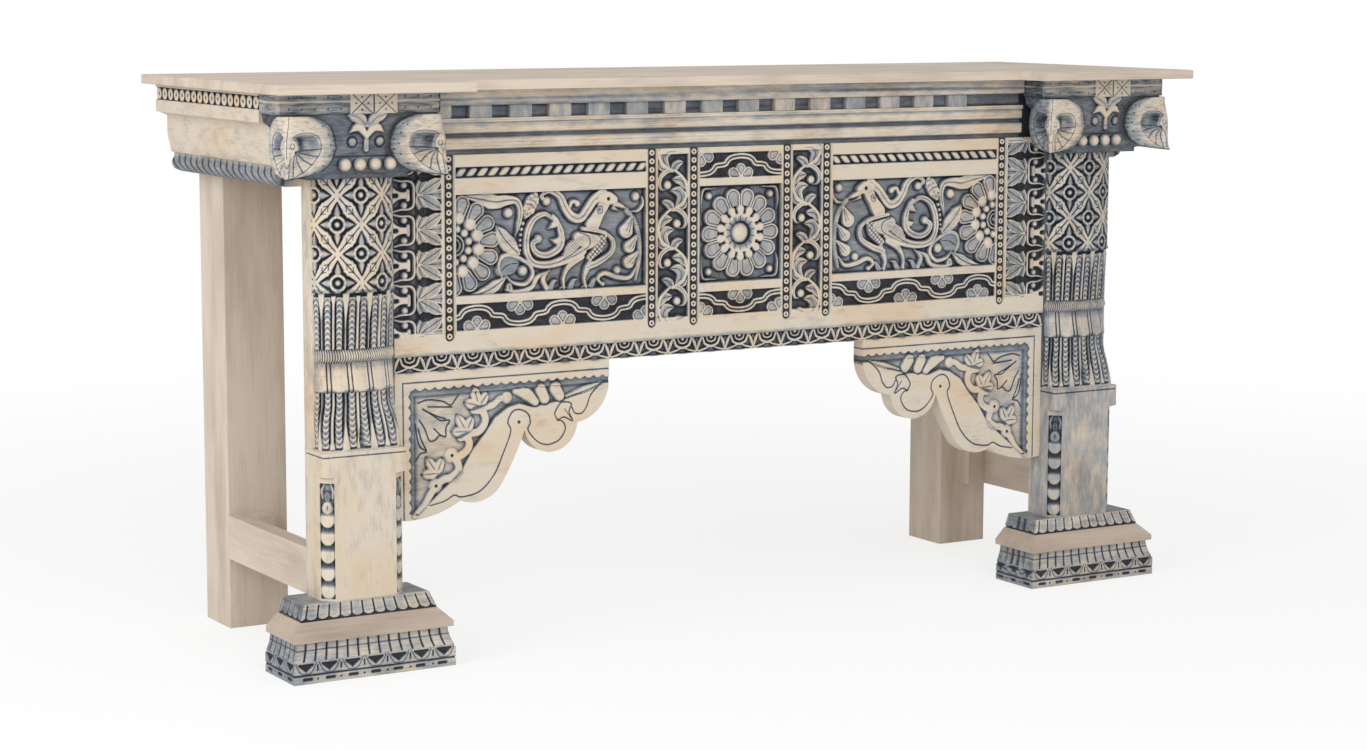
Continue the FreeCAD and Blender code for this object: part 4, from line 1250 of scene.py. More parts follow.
def latticeField(sheet, v0, v1):
    # flowers in the openings of a diagonal lattice
    near = np.nonzero((sheet["v"] > v0) & (sheet["v"] <= v1))
    u, v = sheet["u"][near], sheet["v"][near]
    wide, tall = lattice["flower"]
    x, y = (u - sheet["u"].max() / 2) / wide, (v - lattice["flowerRow"]) / tall
    a, b = (x + y) / 2, (x - y) / 2
    a, b = a - np.round(a), b - np.round(b)
    du, dv = (a + b) * wide, (a - b) * tall
    reach = np.hypot(du, dv)
    across, up = np.abs(a + b) * lattice["size"], np.abs(a - b) * lattice["size"]
    along, off = np.maximum(across, up), np.minimum(across, up)
    pointHalf, pointEnd = lattice["point"]
    gap = pointHalf * np.clip((pointEnd - along) / lattice["taper"], 0, 1) ** 0.85
    inside = np.maximum(lattice["opening"] - (along ** 3 + off ** 3) ** (1 / 3),
                        np.minimum(gap - off, pointEnd - along))
    sheet["ground"][near] = -lattice["depth"]
    sheet["tone"][near] = lattice["tone"]
    sheet["h"][near] = -lattice["depth"] * smoothStep(-0.4, 2.6, inside)
    leafHalf, leafEnd = lattice["leaf"]
    leafWide = leafHalf * np.clip((leafEnd - along) / lattice["taper"], 0, 1) ** 0.8
    leafRise = 5.4 * shoulder(leafWide * smoothStep(8, 15, along) - off, 4.0) - 0.12 * off
    lift(sheet, near, leafRise, 0.08 + 0.34 * smoothStep(0.8, 6, off))
    barb = ridge(off - 15.5 + 0.02 * (along - 18) ** 2, 0.8) * (along > 18) * (along < 30)
    cutIn(sheet, near, barb, 1.0, 0.6)
    spin = np.abs((np.arctan2(du, dv) * 5 / math.pi) % 1 - 0.5) * 2
    ringInside = lattice["ringHalf"] - np.abs(reach - lattice["ring"])
    lift(sheet, near, 5.6 * shoulder(ringInside, 2.2), 0.4 * smoothStep(0.7, 0.95, spin) - 0.1)
    boss = np.clip(1 - (reach / lattice["boss"]) ** 2, 0, 1) ** 0.55
    lift(sheet, near, 5.8 * boss, -0.1)
    line = (0.5 - np.maximum(np.abs(a), np.abs(b))) * 2 * lattice["halfSpan"]
    share = 2 * np.minimum(np.abs(a), np.abs(b))
    cutIn(sheet, near, smoothStep(1.3, 0.3, line) * smoothStep(0.9, 0.75, share), 1.2, 0.65)


def featherField(sheet, v0, v1, upwards):
    # ribs with a row of scales on each side, and split leaves between them
    near = np.nonzero((sheet["v"] > v0) & (sheet["v"] <= v1))
    u, v = sheet["u"][near], sheet["v"][near] - v0
    height, rib, row = v1 - v0, feathers["rib"], feathers["scaleRow"]
    rise = v if upwards else height - v
    away = np.abs(((u - sheet["u"].max() / 2) / rib + feathers["ribStart"]) % 1 - 0.5) * rib
    sheet["ground"][near] = -feathers["depth"]
    sheet["tone"][near] = feathers["upTone"] if upwards else feathers["downTone"]
    sheet["h"][near] = -feathers["depth"]
    ribWide = 2.8 + 1.6 * smoothStep(height - 18, height - 6, rise)
    lift(sheet, near, 5.6 * shoulder(np.minimum(ribWide - away, height - 3 - rise), 2), -0.08)
    bow = ((away - row) / 5.4) ** 2 * 5.0
    scale = ((rise + bow) / feathers["scale"]) % 1
    inside = np.minimum(5.6 - np.abs(away - row), height - 5 - rise)
    wash = np.interp(scale, (0, 0.1, 0.2, 0.42, 0.55, 1), (0.4, 0.4, -0.2, -0.2, 0.16, 0.3))
    swell = 4.3 + 0.6 * np.interp(scale, (0.1, 0.2, 0.45, 1), (-1, 1, 0.6, -1))
    lift(sheet, near, swell * shoulder(inside, 1.4), wash)
    between = np.abs(away - rib / 2)
    split = 1.8 + 4.2 * smoothStep(height * 0.45, height, rise)
    lift(sheet, near, 5.0 * shoulder(split - between, 1.6), -0.05)
    notch = smoothStep(1.6, 0.8, between) * smoothStep(height * 0.6, height * 0.5, rise)
    sheet["paint"][near] += 0.25 * notch


def collarField(sheet, ringRows, bellRows):
    # a reeded ring over a bell of plain petals, with painted shade at the ring's edges, under the ring and
    # towards the sides
    u, v = sheet["u"], sheet["v"]
    middle = u.max() / 2
    ringRow = (v > ringRows[0]) & (v <= ringRows[1])
    reed = np.abs(np.sin(u * math.pi / collar["reed"]))
    level = np.abs(v - sum(ringRows) / 2) / collar["half"]
    sheet["h"] = np.where(ringRow, collar["reedDepth"] * (reed - 1), sheet["h"])
    # dark reed gaps, and painted shade towards the ring's top and bottom edges
    sheet["paint"] = np.where(ringRow, 0.8 * (1 - reed) ** 1.3 + 0.5 * level ** 3 - 0.1, sheet["paint"])
    bellRow = (v > bellRows[0]) & (v <= bellRows[1])
    strip = np.abs(((u - middle) / collar["petal"]) % 1 - 0.5) * collar["petal"]
    lines = ridge(strip - collar["line"], 1.0)
    hemReach, hemBow = collar["hem"]
    wave = np.cos((u - middle) * 2 * math.pi / collar["petal"])
    hem = smoothStep(hemReach - hemBow * wave, 0, v - bellRows[0])
    sheet["h"] = np.where(bellRow, -2.0 * lines - 1.5 * hem, sheet["h"])
    # painted shade: the bell darker towards the column's turned sides and just under the ring
    edgeDarkening = 0.22 * smoothStep(52, 88, np.abs(u - middle))
    underRingShade = 0.3 * smoothStep(bellRows[1] - 16, bellRows[1], v)
    bellPaintAndShade = np.maximum(0.85 * lines, np.maximum(0.5 * hem, underRingShade + edgeDarkening))
    sheet["paint"] = np.where(bellRow, bellPaintAndShade, sheet["paint"])


def columnSheet(bm, side, centre, boardFront, dieTop):
    turn = np.linspace(-math.pi / 2, math.pi / 2, 400)
    run = runAlong(np.stack([np.sin(turn) * post["reach"], np.cos(turn) * post["bulge"]], axis=1))
    levels = post["levels"]
    sheet = newSheet(evenLines(0, run[-1], post["step"]), evenLines(0, levels["lattice"][1], post["step"]))
    featherField(sheet, *levels["flare"], False)
    featherField(sheet, *levels["leaf"], True)
    latticeField(sheet, *levels["lattice"])
    collarField(sheet, levels["ring"], levels["bell"])
    u, v = sheet["u"], sheet["v"]
    rim = ridge(v - levels["lattice"][0] - lattice["rim"], lattice["rim"])
    sheet["h"] += 2.2 * rim * np.abs(np.sin(u * math.pi / lattice["rimPitch"])) * (v > 200)
    foot = smoothStep(5, 0, v)
    sheet["paint"] = np.maximum(sheet["paint"], 0.4 * rim) * (1 - foot)
    sheet["h"] = sheet["h"] * (1 - foot) - 1.0 * foot
    weather(sheet, 0.04, 11)
    stainAndShade(sheet)
    sheet["wash"] = sheet["wash"] * (1 - foot)
    # the right-hand column is darker than the left
    addWash(sheet, post["sideDarkening"][side])

    def squared(angle, square):
        across = np.sign(angle) * np.abs(np.sin(angle)) ** square
        return post["reach"] * across, post["bulge"] * np.clip(np.cos(angle), 0, 1) ** square

    def evenAngles(u, square):
        # angles at even steps round the squared half column
        steps = np.hypot(*np.diff(squared(turn, square), axis=1))
        shares = np.concatenate([[0], np.cumsum(steps)]) / steps.sum()
        return np.interp(u / run[-1], shares, turn)

    def place(u, v, h):
        square = 2 / (2 + post["square"] * smoothStep(post["squareTop"], 0, v))
        angle = np.stack([evenAngles(row, share) for row, share in zip(u, square[:, 0])])
        across, out = squared(angle, square)
        across = across * np.interp(v, *zip(*post["width"]))
        out = out * np.interp(v, *zip(*post["bulgeShare"]))
        nx, ny = np.sin(angle) / post["reach"], np.clip(np.cos(angle), 0, 1) / post["bulge"]
        size = np.hypot(nx, ny)
        return (side * centre + (across + h * nx / size) * mm,
                boardFront + post["sunk"] * mm - (out + h * ny / size) * mm, dieTop + v * mm)

    carveBlock(bm, sheet, place)


def dieChannel(sheet, middle):
    # a sunk strip of hanging drops under a small leaf and two stalks
    half = die["channelHalf"]
    sinkField(sheet, middle - half, middle + half, *die["channel"], die["channelDepth"], die["channelTone"])
    for number in range(die["drops"]):
        foot = 2 + die["dropPitch"] * number
        near, inside = stroke(sheet, [(middle, foot + 12), (middle, foot + 22)], (die["dropWidth"],) * 2)[:2]
        shade = smoothStep(foot + 15, foot + 26, sheet["v"][near])
        lift(sheet, near, 4.4 * shoulder(inside, 1.8) - 2.2 * shade, 0.66 * shade - 0.1)
    leaf(sheet, (middle, 138), (middle, 150), 20, 4.0, 0, 1.2, 0.1)
    leaf(sheet, (middle, 168), (middle, 152), 13, 3.6, 0, 0, 0.4)
    for way in (-1, 1):
        stalk = [(middle + way * 8, 158), (middle + way * 9, 170), (middle + way * 4, 181)]
        band(sheet, stalk, (3, 5, 2), 4)


def dieSheet(bm, side, centre, back, bottom):
    chamfer, half, depth, top = (die[key] for key in ("chamfer", "half", "depth", "top"))
    sides = depth - chamfer, die["chamferFace"], 2 * (half - chamfer), die["chamferFace"], depth - chamfer
    knots = np.concatenate([[0], np.cumsum(sides)])
    plainTop, lineStart = die["chamferTop"] + 3, top - die["topRows"]
    sheet = newSheet(joinLines(*zip(knots, knots[1:], (8, 1, 6, 1, 8))),
                     joinLines((0, plainTop, 1), (plainTop, lineStart, 5), (lineStart, top, 0.8)))
    dieChannel(sheet, (knots[1] + knots[2]) / 2)
    dieChannel(sheet, (knots[3] + knots[4]) / 2)
    cutIn(sheet, everywhere, ridge(sheet["v"] - top + die["topLine"], 1.0), 1.0, 0.7)
    weather(sheet, 0.015, 12, 2)
    stainAndShade(sheet)
    # the right-hand die is darker than the left
    addWash(sheet, die["sideDarkening"][side])

    def cornersAt(v):
        soft, flat = die["softEdge"], v * 0
        cut = soft + (chamfer - soft) * smoothStep(die["chamferTop"] + 2, die["chamferTop"], v)
        return ((half + flat, flat), (half + flat, depth - cut), (half - cut, depth + flat),
                (cut - half, depth + flat), (flat - half, depth - cut), (flat - half, flat))

    plainBack(sheet)
    carveBlock(bm, sheet, wrapPlace(knots, cornersAt, postLay(side, centre, back, bottom)))


def makePost(word):
    node, side = "front_post_" + word, sideSigns[word]
    low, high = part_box(node)
    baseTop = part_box("base_tier_" + word)[1].z
    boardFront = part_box("rosette_panel")[0].y
    dieTop = baseTop + die["top"] * mm
    bm = newBench()
    boardLow = Vector((low.x, boardFront, dieTop - post["overlap"] * mm))
    washedBox(bm, boardLow, high, post["boardWash"][::-side], post["boardBevel"] * mm)
    centre = abs(low.x + high.x) / 2
    columnSheet(bm, side, centre, boardFront, dieTop)
    dieSheet(bm, side, centre, high.y, baseTop)
    finishPiece("frontPost_" + word, bm, carvingUpright, node)


for word in sideSigns:
    makePost(word)


# Column bases: blocks and triangles, fluted cove, then a tier of tongues
base = {"step": 1.0, "innerStep": 6.0, "flute": 18.5, "fluteFoot": 33.0, "ruledAt": 50.0, "triangle": 38.5,
        "block": 37.5, "blockRow": 7.0, "lineAt": 13.5, "band": 30.0, "cove": 10.0, "sideDarkening": 0.36,
        "frontWash": 0.22}
tier = {"tongue": 19.4, "foot": 2.0, "bow": 7.0, "gap": 0.8, "slope": 9.5, "wash": 0.24, "sideDarkening": 0.25}


def roundRun(u, knots, pitch):
    # distance along the nearest side from its middle, as a share of the pitch
    side = np.clip(np.searchsorted(knots, u, "right") - 1, 0, len(knots) - 2)
    return (u - (knots[side] + knots[side + 1]) / 2) / pitch


def onSides(u, knots):
    return (u < knots[1]) | (u > knots[2])


def plinthMarks(sheet, start, end):
    # triangles and notches over a row of blocks and dots, even about the middle of one side
    row, middle = base["blockRow"], (start + end) / 2
    for number in range(-6, 7):
        spot = middle + number * base["triangle"]
        if start + 6 < spot < end - 6:
            near, inside = stroke(sheet, [(spot, 29), (spot, 20)], (26, 3))[:2]
            cutIn(sheet, near, smoothStep(-0.5, 1.2, np.minimum(inside, 31 - sheet["v"][near])), 3.0, 0.95)
            frameLine = [(spot - 17, 32), (spot - 9, 18), (spot, 16), (spot + 9, 18), (spot + 17, 32)]
            groove(sheet, frameLine, 1.4, 1, 0.6)
        between = spot + base["triangle"] / 2
        if start + 3 < between < end - 3:
            groove(sheet, [(between, 20), (between, 28)], 2.6, 2, 0.9)
            pit(sheet, between, row, 1.6, 1.6)
        slot = middle + number * base["block"]
        if start + 6 < slot < end - 6:
            groove(sheet, [(slot - 6, row), (slot + 6, row)], 6.5, 2.4, 0.9)


def makePlinth(word):
    node = "base_plinth_" + word
    block = blockFacts(node)
    knots, sheet = blockSheet(block, base["step"], base["innerStep"], base["step"])
    u, v = sheet["u"], sheet["v"]
    flute = np.abs((roundRun(u, knots, base["flute"]) + 0.5) % 1 - 0.5) * base["flute"]
    fluted = v > base["fluteFoot"]
    gap = ridge(base["flute"] / 2 - flute, 1.2) * fluted
    sheet["h"] = 1.2 * np.cos(flute / base["flute"] * math.pi) * fluted
    cutIn(sheet, everywhere, gap, 2.4, 0.85)
    darken(sheet, everywhere, 0.6 * ridge(v - base["ruledAt"], 0.9))
    for start, end in zip(knots, knots[1:]):
        plinthMarks(sheet, start, end)
    cutIn(sheet, everywhere, ridge(v - base["lineAt"], 1.3), 2.0, 0.9)
    weather(sheet, 0.06, 21)
    stainAndShade(sheet)
    # painted shade: the side faces are darker than the front
    addWash(sheet, np.where(onSides(u, knots), base["sideDarkening"], base["frontWash"]))

    def inset(v):
        share = np.clip((v - base["band"]) / (block["height"] - base["band"]), 0, 1)
        return base["cove"] * np.sin(share * math.pi / 2) ** 0.8

    plainBack(sheet)
    wrapPiece("basePlinth_" + word, sheet, blockPlace(block, knots, inset, inset), carvingAcross, node)


def makeTier(word):
    node = "base_tier_" + word
    block = blockFacts(node)
    knots, sheet = blockSheet(block, base["step"], base["innerStep"], base["step"])
    u, v = sheet["u"], sheet["v"]
    half, top = tier["tongue"] / 2, block["height"]
    away = np.abs((roundRun(u, knots, tier["tongue"]) + 0.5) % 1 - 0.5) * tier["tongue"]
    foot = tier["foot"] + tier["bow"] * (1 - np.sqrt(np.clip(1 - (away / half) ** 2, 0, 1)))
    inside = np.minimum(half - tier["gap"] - away, v - foot)
    inside = np.where(v > top - 2, 2, inside)
    sheet["h"] = -3.0 * (1 - shoulder(inside, 1.6)) - 0.8 * smoothStep(2, 6, inside)
    sheet["paint"] = 0.7 * smoothStep(0.8, -0.8, inside) + tier["wash"]
    weather(sheet, 0.05, 22)
    stainAndShade(sheet)
    # painted shade: the side faces are darker than the front
    addWash(sheet, tier["sideDarkening"] * onSides(u, knots))

    def inset(v):
        return tier["slope"] * v / top

    plainBack(sheet)
    wrapPiece("baseTier_" + word, sheet, blockPlace(block, knots, inset, inset), carvingAcross, node)


for word in sideSigns:
    makePlinth(word)
    makeTier(word)


# Capitals: abacus band, core, corner volutes and balls
capital = {"step": 1.1, "innerStart": 20.0, "balls": 4, "ballShade": (0.85, 0.05)}
abacus = {"rowStep": 0.9, "square": 37.0, "squareShift": 21.0, "squareEdge": (2.6, 1.4), "depth": 2.5,
          "wash": 0.34, "footWash": 0.2, "innerShade": 0.3, "blotches": 0.15, "lineShare": 0.6,
          "lineRise": 1.2, "dots": 21.0, "dotShares": (0.25, 0.8),
          "crossShares": ((0.5, 0.2), (0.5, 0.8), (0.22, 0.5), (0.78, 0.5))}
core = {"leafShift": 12.0, "depth": 3.0, "tone": 0.58, "outerWash": 0.22, "blotches": 0.07,
        "ballAt": (26.0, 55.0), "ballRing": (9.0, 8.0), "lineAt": 33.0,
        "sideInset": ((0, 48), (7.5, 48), (8.5, 24), (34.7, 20), (76, 15), (85, 5), (97, 3)),
        "frontInset": ((0, 14.2), (7.5, 14.2), (8.5, 8), (34.7, 7), (97, 3))}


def makeAbacus(word):
    node = "capital_abacus_" + word
    block = blockFacts(node)
    knots, sheet = blockSheet(block, capital["step"], capital["step"], abacus["rowStep"])
    u, v = sheet["u"], sheet["v"]
    middle = knots[1] + block["half"] - block["side"] * abacus["squareShift"]
    size, top = abacus["square"], block["height"]
    outerEdge, innerEdge = abacus["squareEdge"]
    square = smoothStep(size + outerEdge, size + innerEdge, np.abs(u - middle)) * ~onSides(u, knots)
    line = ridge(v - top * abacus["lineShare"], 1.5) * (1 - square)
    sheet["h"] = abacus["lineRise"] * line - abacus["depth"] * (1 - square)
    wash = abacus["wash"] + abacus["footWash"] * smoothStep(6, 0, v)
    # painted shade on the abacus's inner side
    sheet["paint"] = wash * (1 - square) + abacus["innerShade"] * (u > knots[2])
    weather(sheet, abacus["blotches"], 41 + block["side"], 5)
    sheet["paint"] -= 0.42 * line + 0.06 * square
    for number in range(-12, 13):
        spot = middle + (number + 0.5) * abacus["dots"]
        if abs(spot - middle) > size + 4 and 4 < spot < knots[3] - 4:
            for share in abacus["dotShares"]:
                pit(sheet, spot, share * top, 1.5, 1.2, 0.95)
    for way in (-1, 1):
        a, b = middle + way * 2, middle + way * size
        for points in (((a, 0), (b, top)), ((a, top), (b, 0))):
            groove(sheet, points, 1.5, 1.0, 0.75)
        for du, dv in abacus["crossShares"]:
            pit(sheet, a + (b - a) * du, top * dv, 1.5, 1.2, 0.85)
    groove(sheet, [(middle, 0), (middle, top)], 2.2, 1.6, 0.8)
    stainAndShade(sheet)

    def straight(v):
        return v * 0

    place = blockPlace(block, knots, straight, straight, capital["innerStart"])
    wrapPiece("capitalAbacus_" + word, sheet, place, carvingAcross, node)


def coreLeaf(sheet, x):
    # a sprig over two ringed balls
    ballX, ballY = core["ballAt"]
    ringX, ringY = core["ballRing"]
    for way in (-1, 1):
        spot = x + way * ballX
        leaf(sheet, (x + way * 2, 79), (x + way * 35, 96), 21, 4.6, 0.12 * way, 1.0, 0.14)
        lobe = [(x, 63), (x + way * 10, 74), (x + way * 20, 76), (x + way * 32, 69)]
        band(sheet, lobe, (9, 13, 12, 2), 5.0, 2.4, 0, 0.02)
        ball(sheet, spot, ballY, 9, 3.0, 0.3)
        turns = np.linspace(0, 2 * math.pi, 9)
        ringLine = [(spot + ringX * math.sin(a), ballY + ringY * math.cos(a)) for a in turns]
        groove(sheet, ringLine, 2.6, 1.6, 0.8)
    band(sheet, [(x, 66), (x, 44)], (9, 11), 3.8, 2.4, 0.8, 0.2)


def makeCore(word):
    node = "capital_core_" + word
    low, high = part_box(node)
    block = blockFacts("capital_abacus_" + word)
    block["bottom"], block["height"] = low.z, (high.z - low.z) / mm
    knots, sheet = blockSheet(block, capital["step"], capital["step"], capital["step"])
    sheet["ground"][:] = -core["depth"]
    sheet["h"][:] = -core["depth"]
    sheet["tone"][:] = core["tone"]
    weather(sheet, core["blotches"], 51, 3)
    sheet["paint"] += core["outerWash"] * smoothStep(knots[1] + 4, knots[1] - 14, sheet["u"])
    coreLeaf(sheet, knots[1] + block["half"] - block["side"] * core["leafShift"])
    groove(sheet, [(knots[1] + 4, core["lineAt"]), (knots[2] - 4, core["lineAt"])], 2.4, 1.0, 0.25)
    stainAndShade(sheet)

    def sideInset(v):
        return np.interp(v, *zip(*core["sideInset"]))

    def frontInset(v):
        return np.interp(v, *zip(*core["frontInset"]))

    place = blockPlace(block, knots, sideInset, frontInset, capital["innerStart"])
    wrapPiece("capitalCore_" + word, sheet, place, carvingAcross, node)


def makeBalls(word):
    node = "capital_balls_" + word
    low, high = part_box(node)
    bm = newBench()
    radius = (high.z - low.z) / 2
    backShade, rub = capital["ballShade"]
    for number in range(capital["balls"]):
        x = low.x + radius + number * (high.x - low.x - 2 * radius) / (capital["balls"] - 1)
        place = Matrix.Translation((x, low.y + radius, (low.z + high.z) / 2))
        made = bmesh.ops.create_uvsphere(bm, u_segments=24, v_segments=16, radius=radius, matrix=place)
        for vert in made["verts"]:
            # painted shade grows towards the back of each ball, where it meets the core
            vert[bm.verts.layers.float["wash"]] = max(0.0, backShade * (vert.co.y - low.y) / radius - rub)
    finishPiece("capitalBalls_" + word, bm, carvingAcross, node)


volute = {"step": 1.1, "front": 93.0, "side": 70.0, "slant": 14.0, "ridge": 12.0, "height": 97.0,
          "footShare": 0.05, "walls": 4, "drawnIn": 9.0, "drawnRows": (50.0, 110.0), "sideDrawn": 0.7,
          "innerShade": 0.34, "wallShade": 0.6, "ground": 6.0, "hollow": 9.0, "eye": (13.0, 54.0),
          "eyeRing": 4.0, "sharp": 70,
          "outlineShares": ((0.05, 0.02), (0.065, 0.2), (0.09, 0.4), (0.13, 0.62), (0.16, 0.72), (0.24, 0.85),
                            (0.34, 0.94), (0.5, 1.0), (0.65, 0.985), (0.75, 0.95), (0.83, 0.91), (0.9, 0.82),
                            (0.95, 0.72), (1.0, 0.56)),
          "opening": ((13, 67), (24, 72), (44, 73), (58, 67), (63, 56), (61, 44), (52, 32), (40, 21),
                      (24, 12), (7, 6), (6, 22), (9, 34), (17, 42), (23, 50), (21, 59)),
          "ribs": ((62, 49), (57, 38), (46, 26), (31, 15), (14, 8)),
          "dots": ((66, 82), (76, 70), (80, 54), (77, 38), (66, 24), (52, 14), (72, 84), (86, 60), (86, 46)),
          "tongue": ((-8, 42), (-7, 30), (0, 22), (7, 30), (8, 42))}


def outlineDepth(sheet, points):
    # distance inside a closed smooth outline, less than zero outside
    path = smoothPath(list(points) + [points[0]], 5)
    x, y = sheet["u"], sheet["v"]
    away, odd = np.full(x.shape, 1e3), np.zeros(x.shape, bool)
    for start, end in zip(path, path[1:]):
        away = np.minimum(away, spanFrom(start, end, x, y)[1])
        (ax, ay), (dx, dy) = start, end - start
        odd ^= ((ay > y) != (end[1] > y)) & (x < ax + (y - ay) * dx / (dy if abs(dy) > 1e-9 else 1e-9))
    return np.where(odd, away, -away)


def voluteFace(sheet, way):
    # a shell opening with ribs, an eye and dots; way is 1 on the front and -1 on the side
    u, v = sheet["u"], sheet["v"]
    eyeU, eyeV = volute["eye"]
    opening = [(way * p, z) for p, z in volute["opening"]]
    depth = outlineDepth(sheet, opening)
    sheet["h"] -= volute["hollow"] * smoothStep(-1, 14, depth) * smoothStep(0, 50, v)
    sheet["h"] -= 1.5 * smoothStep(-0.5, 1.5, depth)
    deep = np.exp(-((way * u - eyeU - 13) ** 2 + (v - eyeV - 4) ** 2) / 110)
    shade = 0.02 + 0.34 * smoothStep(22, 60, v) + 0.5 * deep
    darken(sheet, everywhere, smoothStep(0, 4, depth) * shade)
    for p, z in volute["ribs"]:
        groove(sheet, [(way * (eyeU + 5), eyeV - 8), (way * p, z)], 1.9, 1.2, 0.8)
    groove(sheet, opening + opening[:1], 1.7, 0.8, 0.65)
    ball(sheet, way * eyeU, eyeV, 7, 5.0)
    turns, reach = np.linspace(0.4, 5.6, 9), volute["eyeRing"]
    eyeLine = [(way * (eyeU + reach * math.sin(t)), eyeV + reach * math.cos(t)) for t in turns]
    groove(sheet, eyeLine, 1.4, 1.2, 0.6)
    for p, z in volute["dots"]:
        pit(sheet, way * p, z, 1.5, 1.2, 0.85)


def voluteSheet():
    # a runs from -1 at the side's end over 0 on the corner to 1 at the front's end, and on into the walls
    zs = evenLines(volute["height"] * volute["footShare"], volute["height"], volute["step"])
    walls = np.linspace(1, 2, volute["walls"] + 1)[1:]
    across = np.concatenate([-walls[::-1], np.linspace(-1, 0, round(volute["side"] / volute["step"]))[:-1],
                             np.linspace(0, 1, round(volute["front"] / volute["step"])), walls])
    a, v = np.meshgrid(across, zs)
    shares = np.interp(zs / volute["height"], *zip(*volute["outlineShares"]))
    share = np.repeat(shares[:, None], len(across), axis=1)
    sheet = sheetOn(np.clip(a, -1, 1) * share * volute["front"], v, 0.0, volute["ground"])
    rim = (1 - np.abs(np.clip(a, -1, 1))) * share * volute["front"] * 0.8
    sheet["h"] -= volute["hollow"] * (1 - shoulder(rim, 14))
    # wash, with painted shade towards the edges where the volute turns back
    sheet["paint"] = 0.1 + 0.5 * smoothStep(5, -1, rim) + 0.3 * smoothStep(24, 2, rim)
    for way in (-1, 1):
        voluteFace(sheet, way)
    groove(sheet, [(0, volute["height"]), (0, 36)], 1.8, 1.2, 0.7)
    groove(sheet, volute["tongue"], 1.8, 1.2, 0.6)
    wall = np.abs(a) > 1.001
    sheet["h"][wall] = 0
    weather(sheet, 0.09, 31, 3)
    stainAndShade(sheet, 2.6, 0.06, 0.2)
    # painted shade on the walls that turn back to the core
    sheet["wash"] = np.where(wall, volute["wallShade"], sheet["wash"])
    return sheet, a, share


def makeVolutes(word):
    node = "capital_volutes_" + word
    low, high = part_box(node)
    bm = newBench()
    sheet, a, share = voluteSheet()
    frontReach, sideReach = share * volute["front"], share * volute["side"]

    def plan(v, h):
        # p runs along the front and q along the side, both from the corner
        s = np.clip(a, -1, 1) * np.where(a > 0, frontReach, sideReach)
        root = np.sqrt(s * s + volute["ridge"] ** 2 * share)
        nx, ny = (s / root - 1) / 2, -(1 + s / root) / 2
        size = np.hypot(nx, ny)
        nearCorner = (1 - np.minimum(np.abs(a), 1)) ** 1.5
        drawnIn = volute["drawnIn"] * smoothStep(*volute["drawnRows"], v) * nearCorner
        slant = volute["slant"] * np.maximum(s, 0) / volute["front"]
        p = (s + root) / 2 + drawnIn + h * nx / size
        q = (root - s) / 2 + slant + drawnIn * volute["sideDrawn"] + h * ny / size
        wall = np.clip(np.abs(a) - 1, 0, 1)
        p = np.where(a < -1, p + wall * (frontReach - p), p)
        q = np.where(a > 1, q + wall * (sideReach - q), q)
        p = np.where(a > 1, np.minimum(p, frontReach) * (1 - wall) + wall * frontReach, p)
        q = np.where(a < -1, q * (1 - wall) + wall * sideReach, q)
        return p, q

    for corner, inward in ((low.x, 1), (high.x, -1)):
        def place(u, v, h):
            p, q = plan(v, h)
            rise = v - volute["height"] * volute["footShare"]
            return corner + inward * p * mm, low.y + q * mm, low.z + rise * mm

        shown = dict(sheet)
        # painted shade on the inner volute's side face
        addWash(shown, volute["innerShade"] * (inward == sideSigns[word]) * smoothStep(0.02, -0.3, a))
        shapeGrid(bm, shown, place)
    bmesh.ops.remove_doubles(bm, verts=bm.verts, dist=1e-6)
    bmesh.ops.holes_fill(bm, edges=[e for e in bm.edges if e.is_boundary], sides=0)
    finishPiece("capitalVolutes_" + word, bm, carvingAcross, node, volute["sharp"])


for word in sideSigns:
    makeAbacus(word)
    makeCore(word)
    makeBalls(word)
    makeVolutes(word)


# End cornices: plain mouldings over a twisted rope, with a strip of ring beads in the fascia
cornice = {"step": 1.1, "rope": 25.0, "ropeLean": 30.0, "ropeRise": 3.4, "ropeMiddle": (30.0, 14.0),
           "sharp": 35, "wash": 0.04, "coveWash": 0.16, "backWash": 0.06, "ropeWash": 0.4, "twistWash": 0.55,
           "path": ((0, 142), (71, 142), (71, 138.5), (66.5, 138.5), (66.5, 114.5), (71, 114.5), (71, 97),
                    (65, 96.4), (58, 92.8), (53.5, 91.5), (52.5, 90), (52.5, 66), (52, 58), (49, 45),
                    (46.5, 32), (41.5, 31)),
           "coveStart": 13,  # the path's point where the wash gets darker
           "ropeArc": ((41.5, 25), (45, 18), (44, 11), (39, 4), (30.6, 0)), "foot": (0, 0)}
endStrip = {"beads": 17, "ring": 6.3, "tube": 3.2, "sunk": 1.6, "squash": 0.5, "channel": 20.0, "depth": 3.0,
            "lip": 0.6, "step": 20.0, "edgeStep": 1.0, "lipStep": 0.3, "channelStep": 5.0, "wash": 0.05}


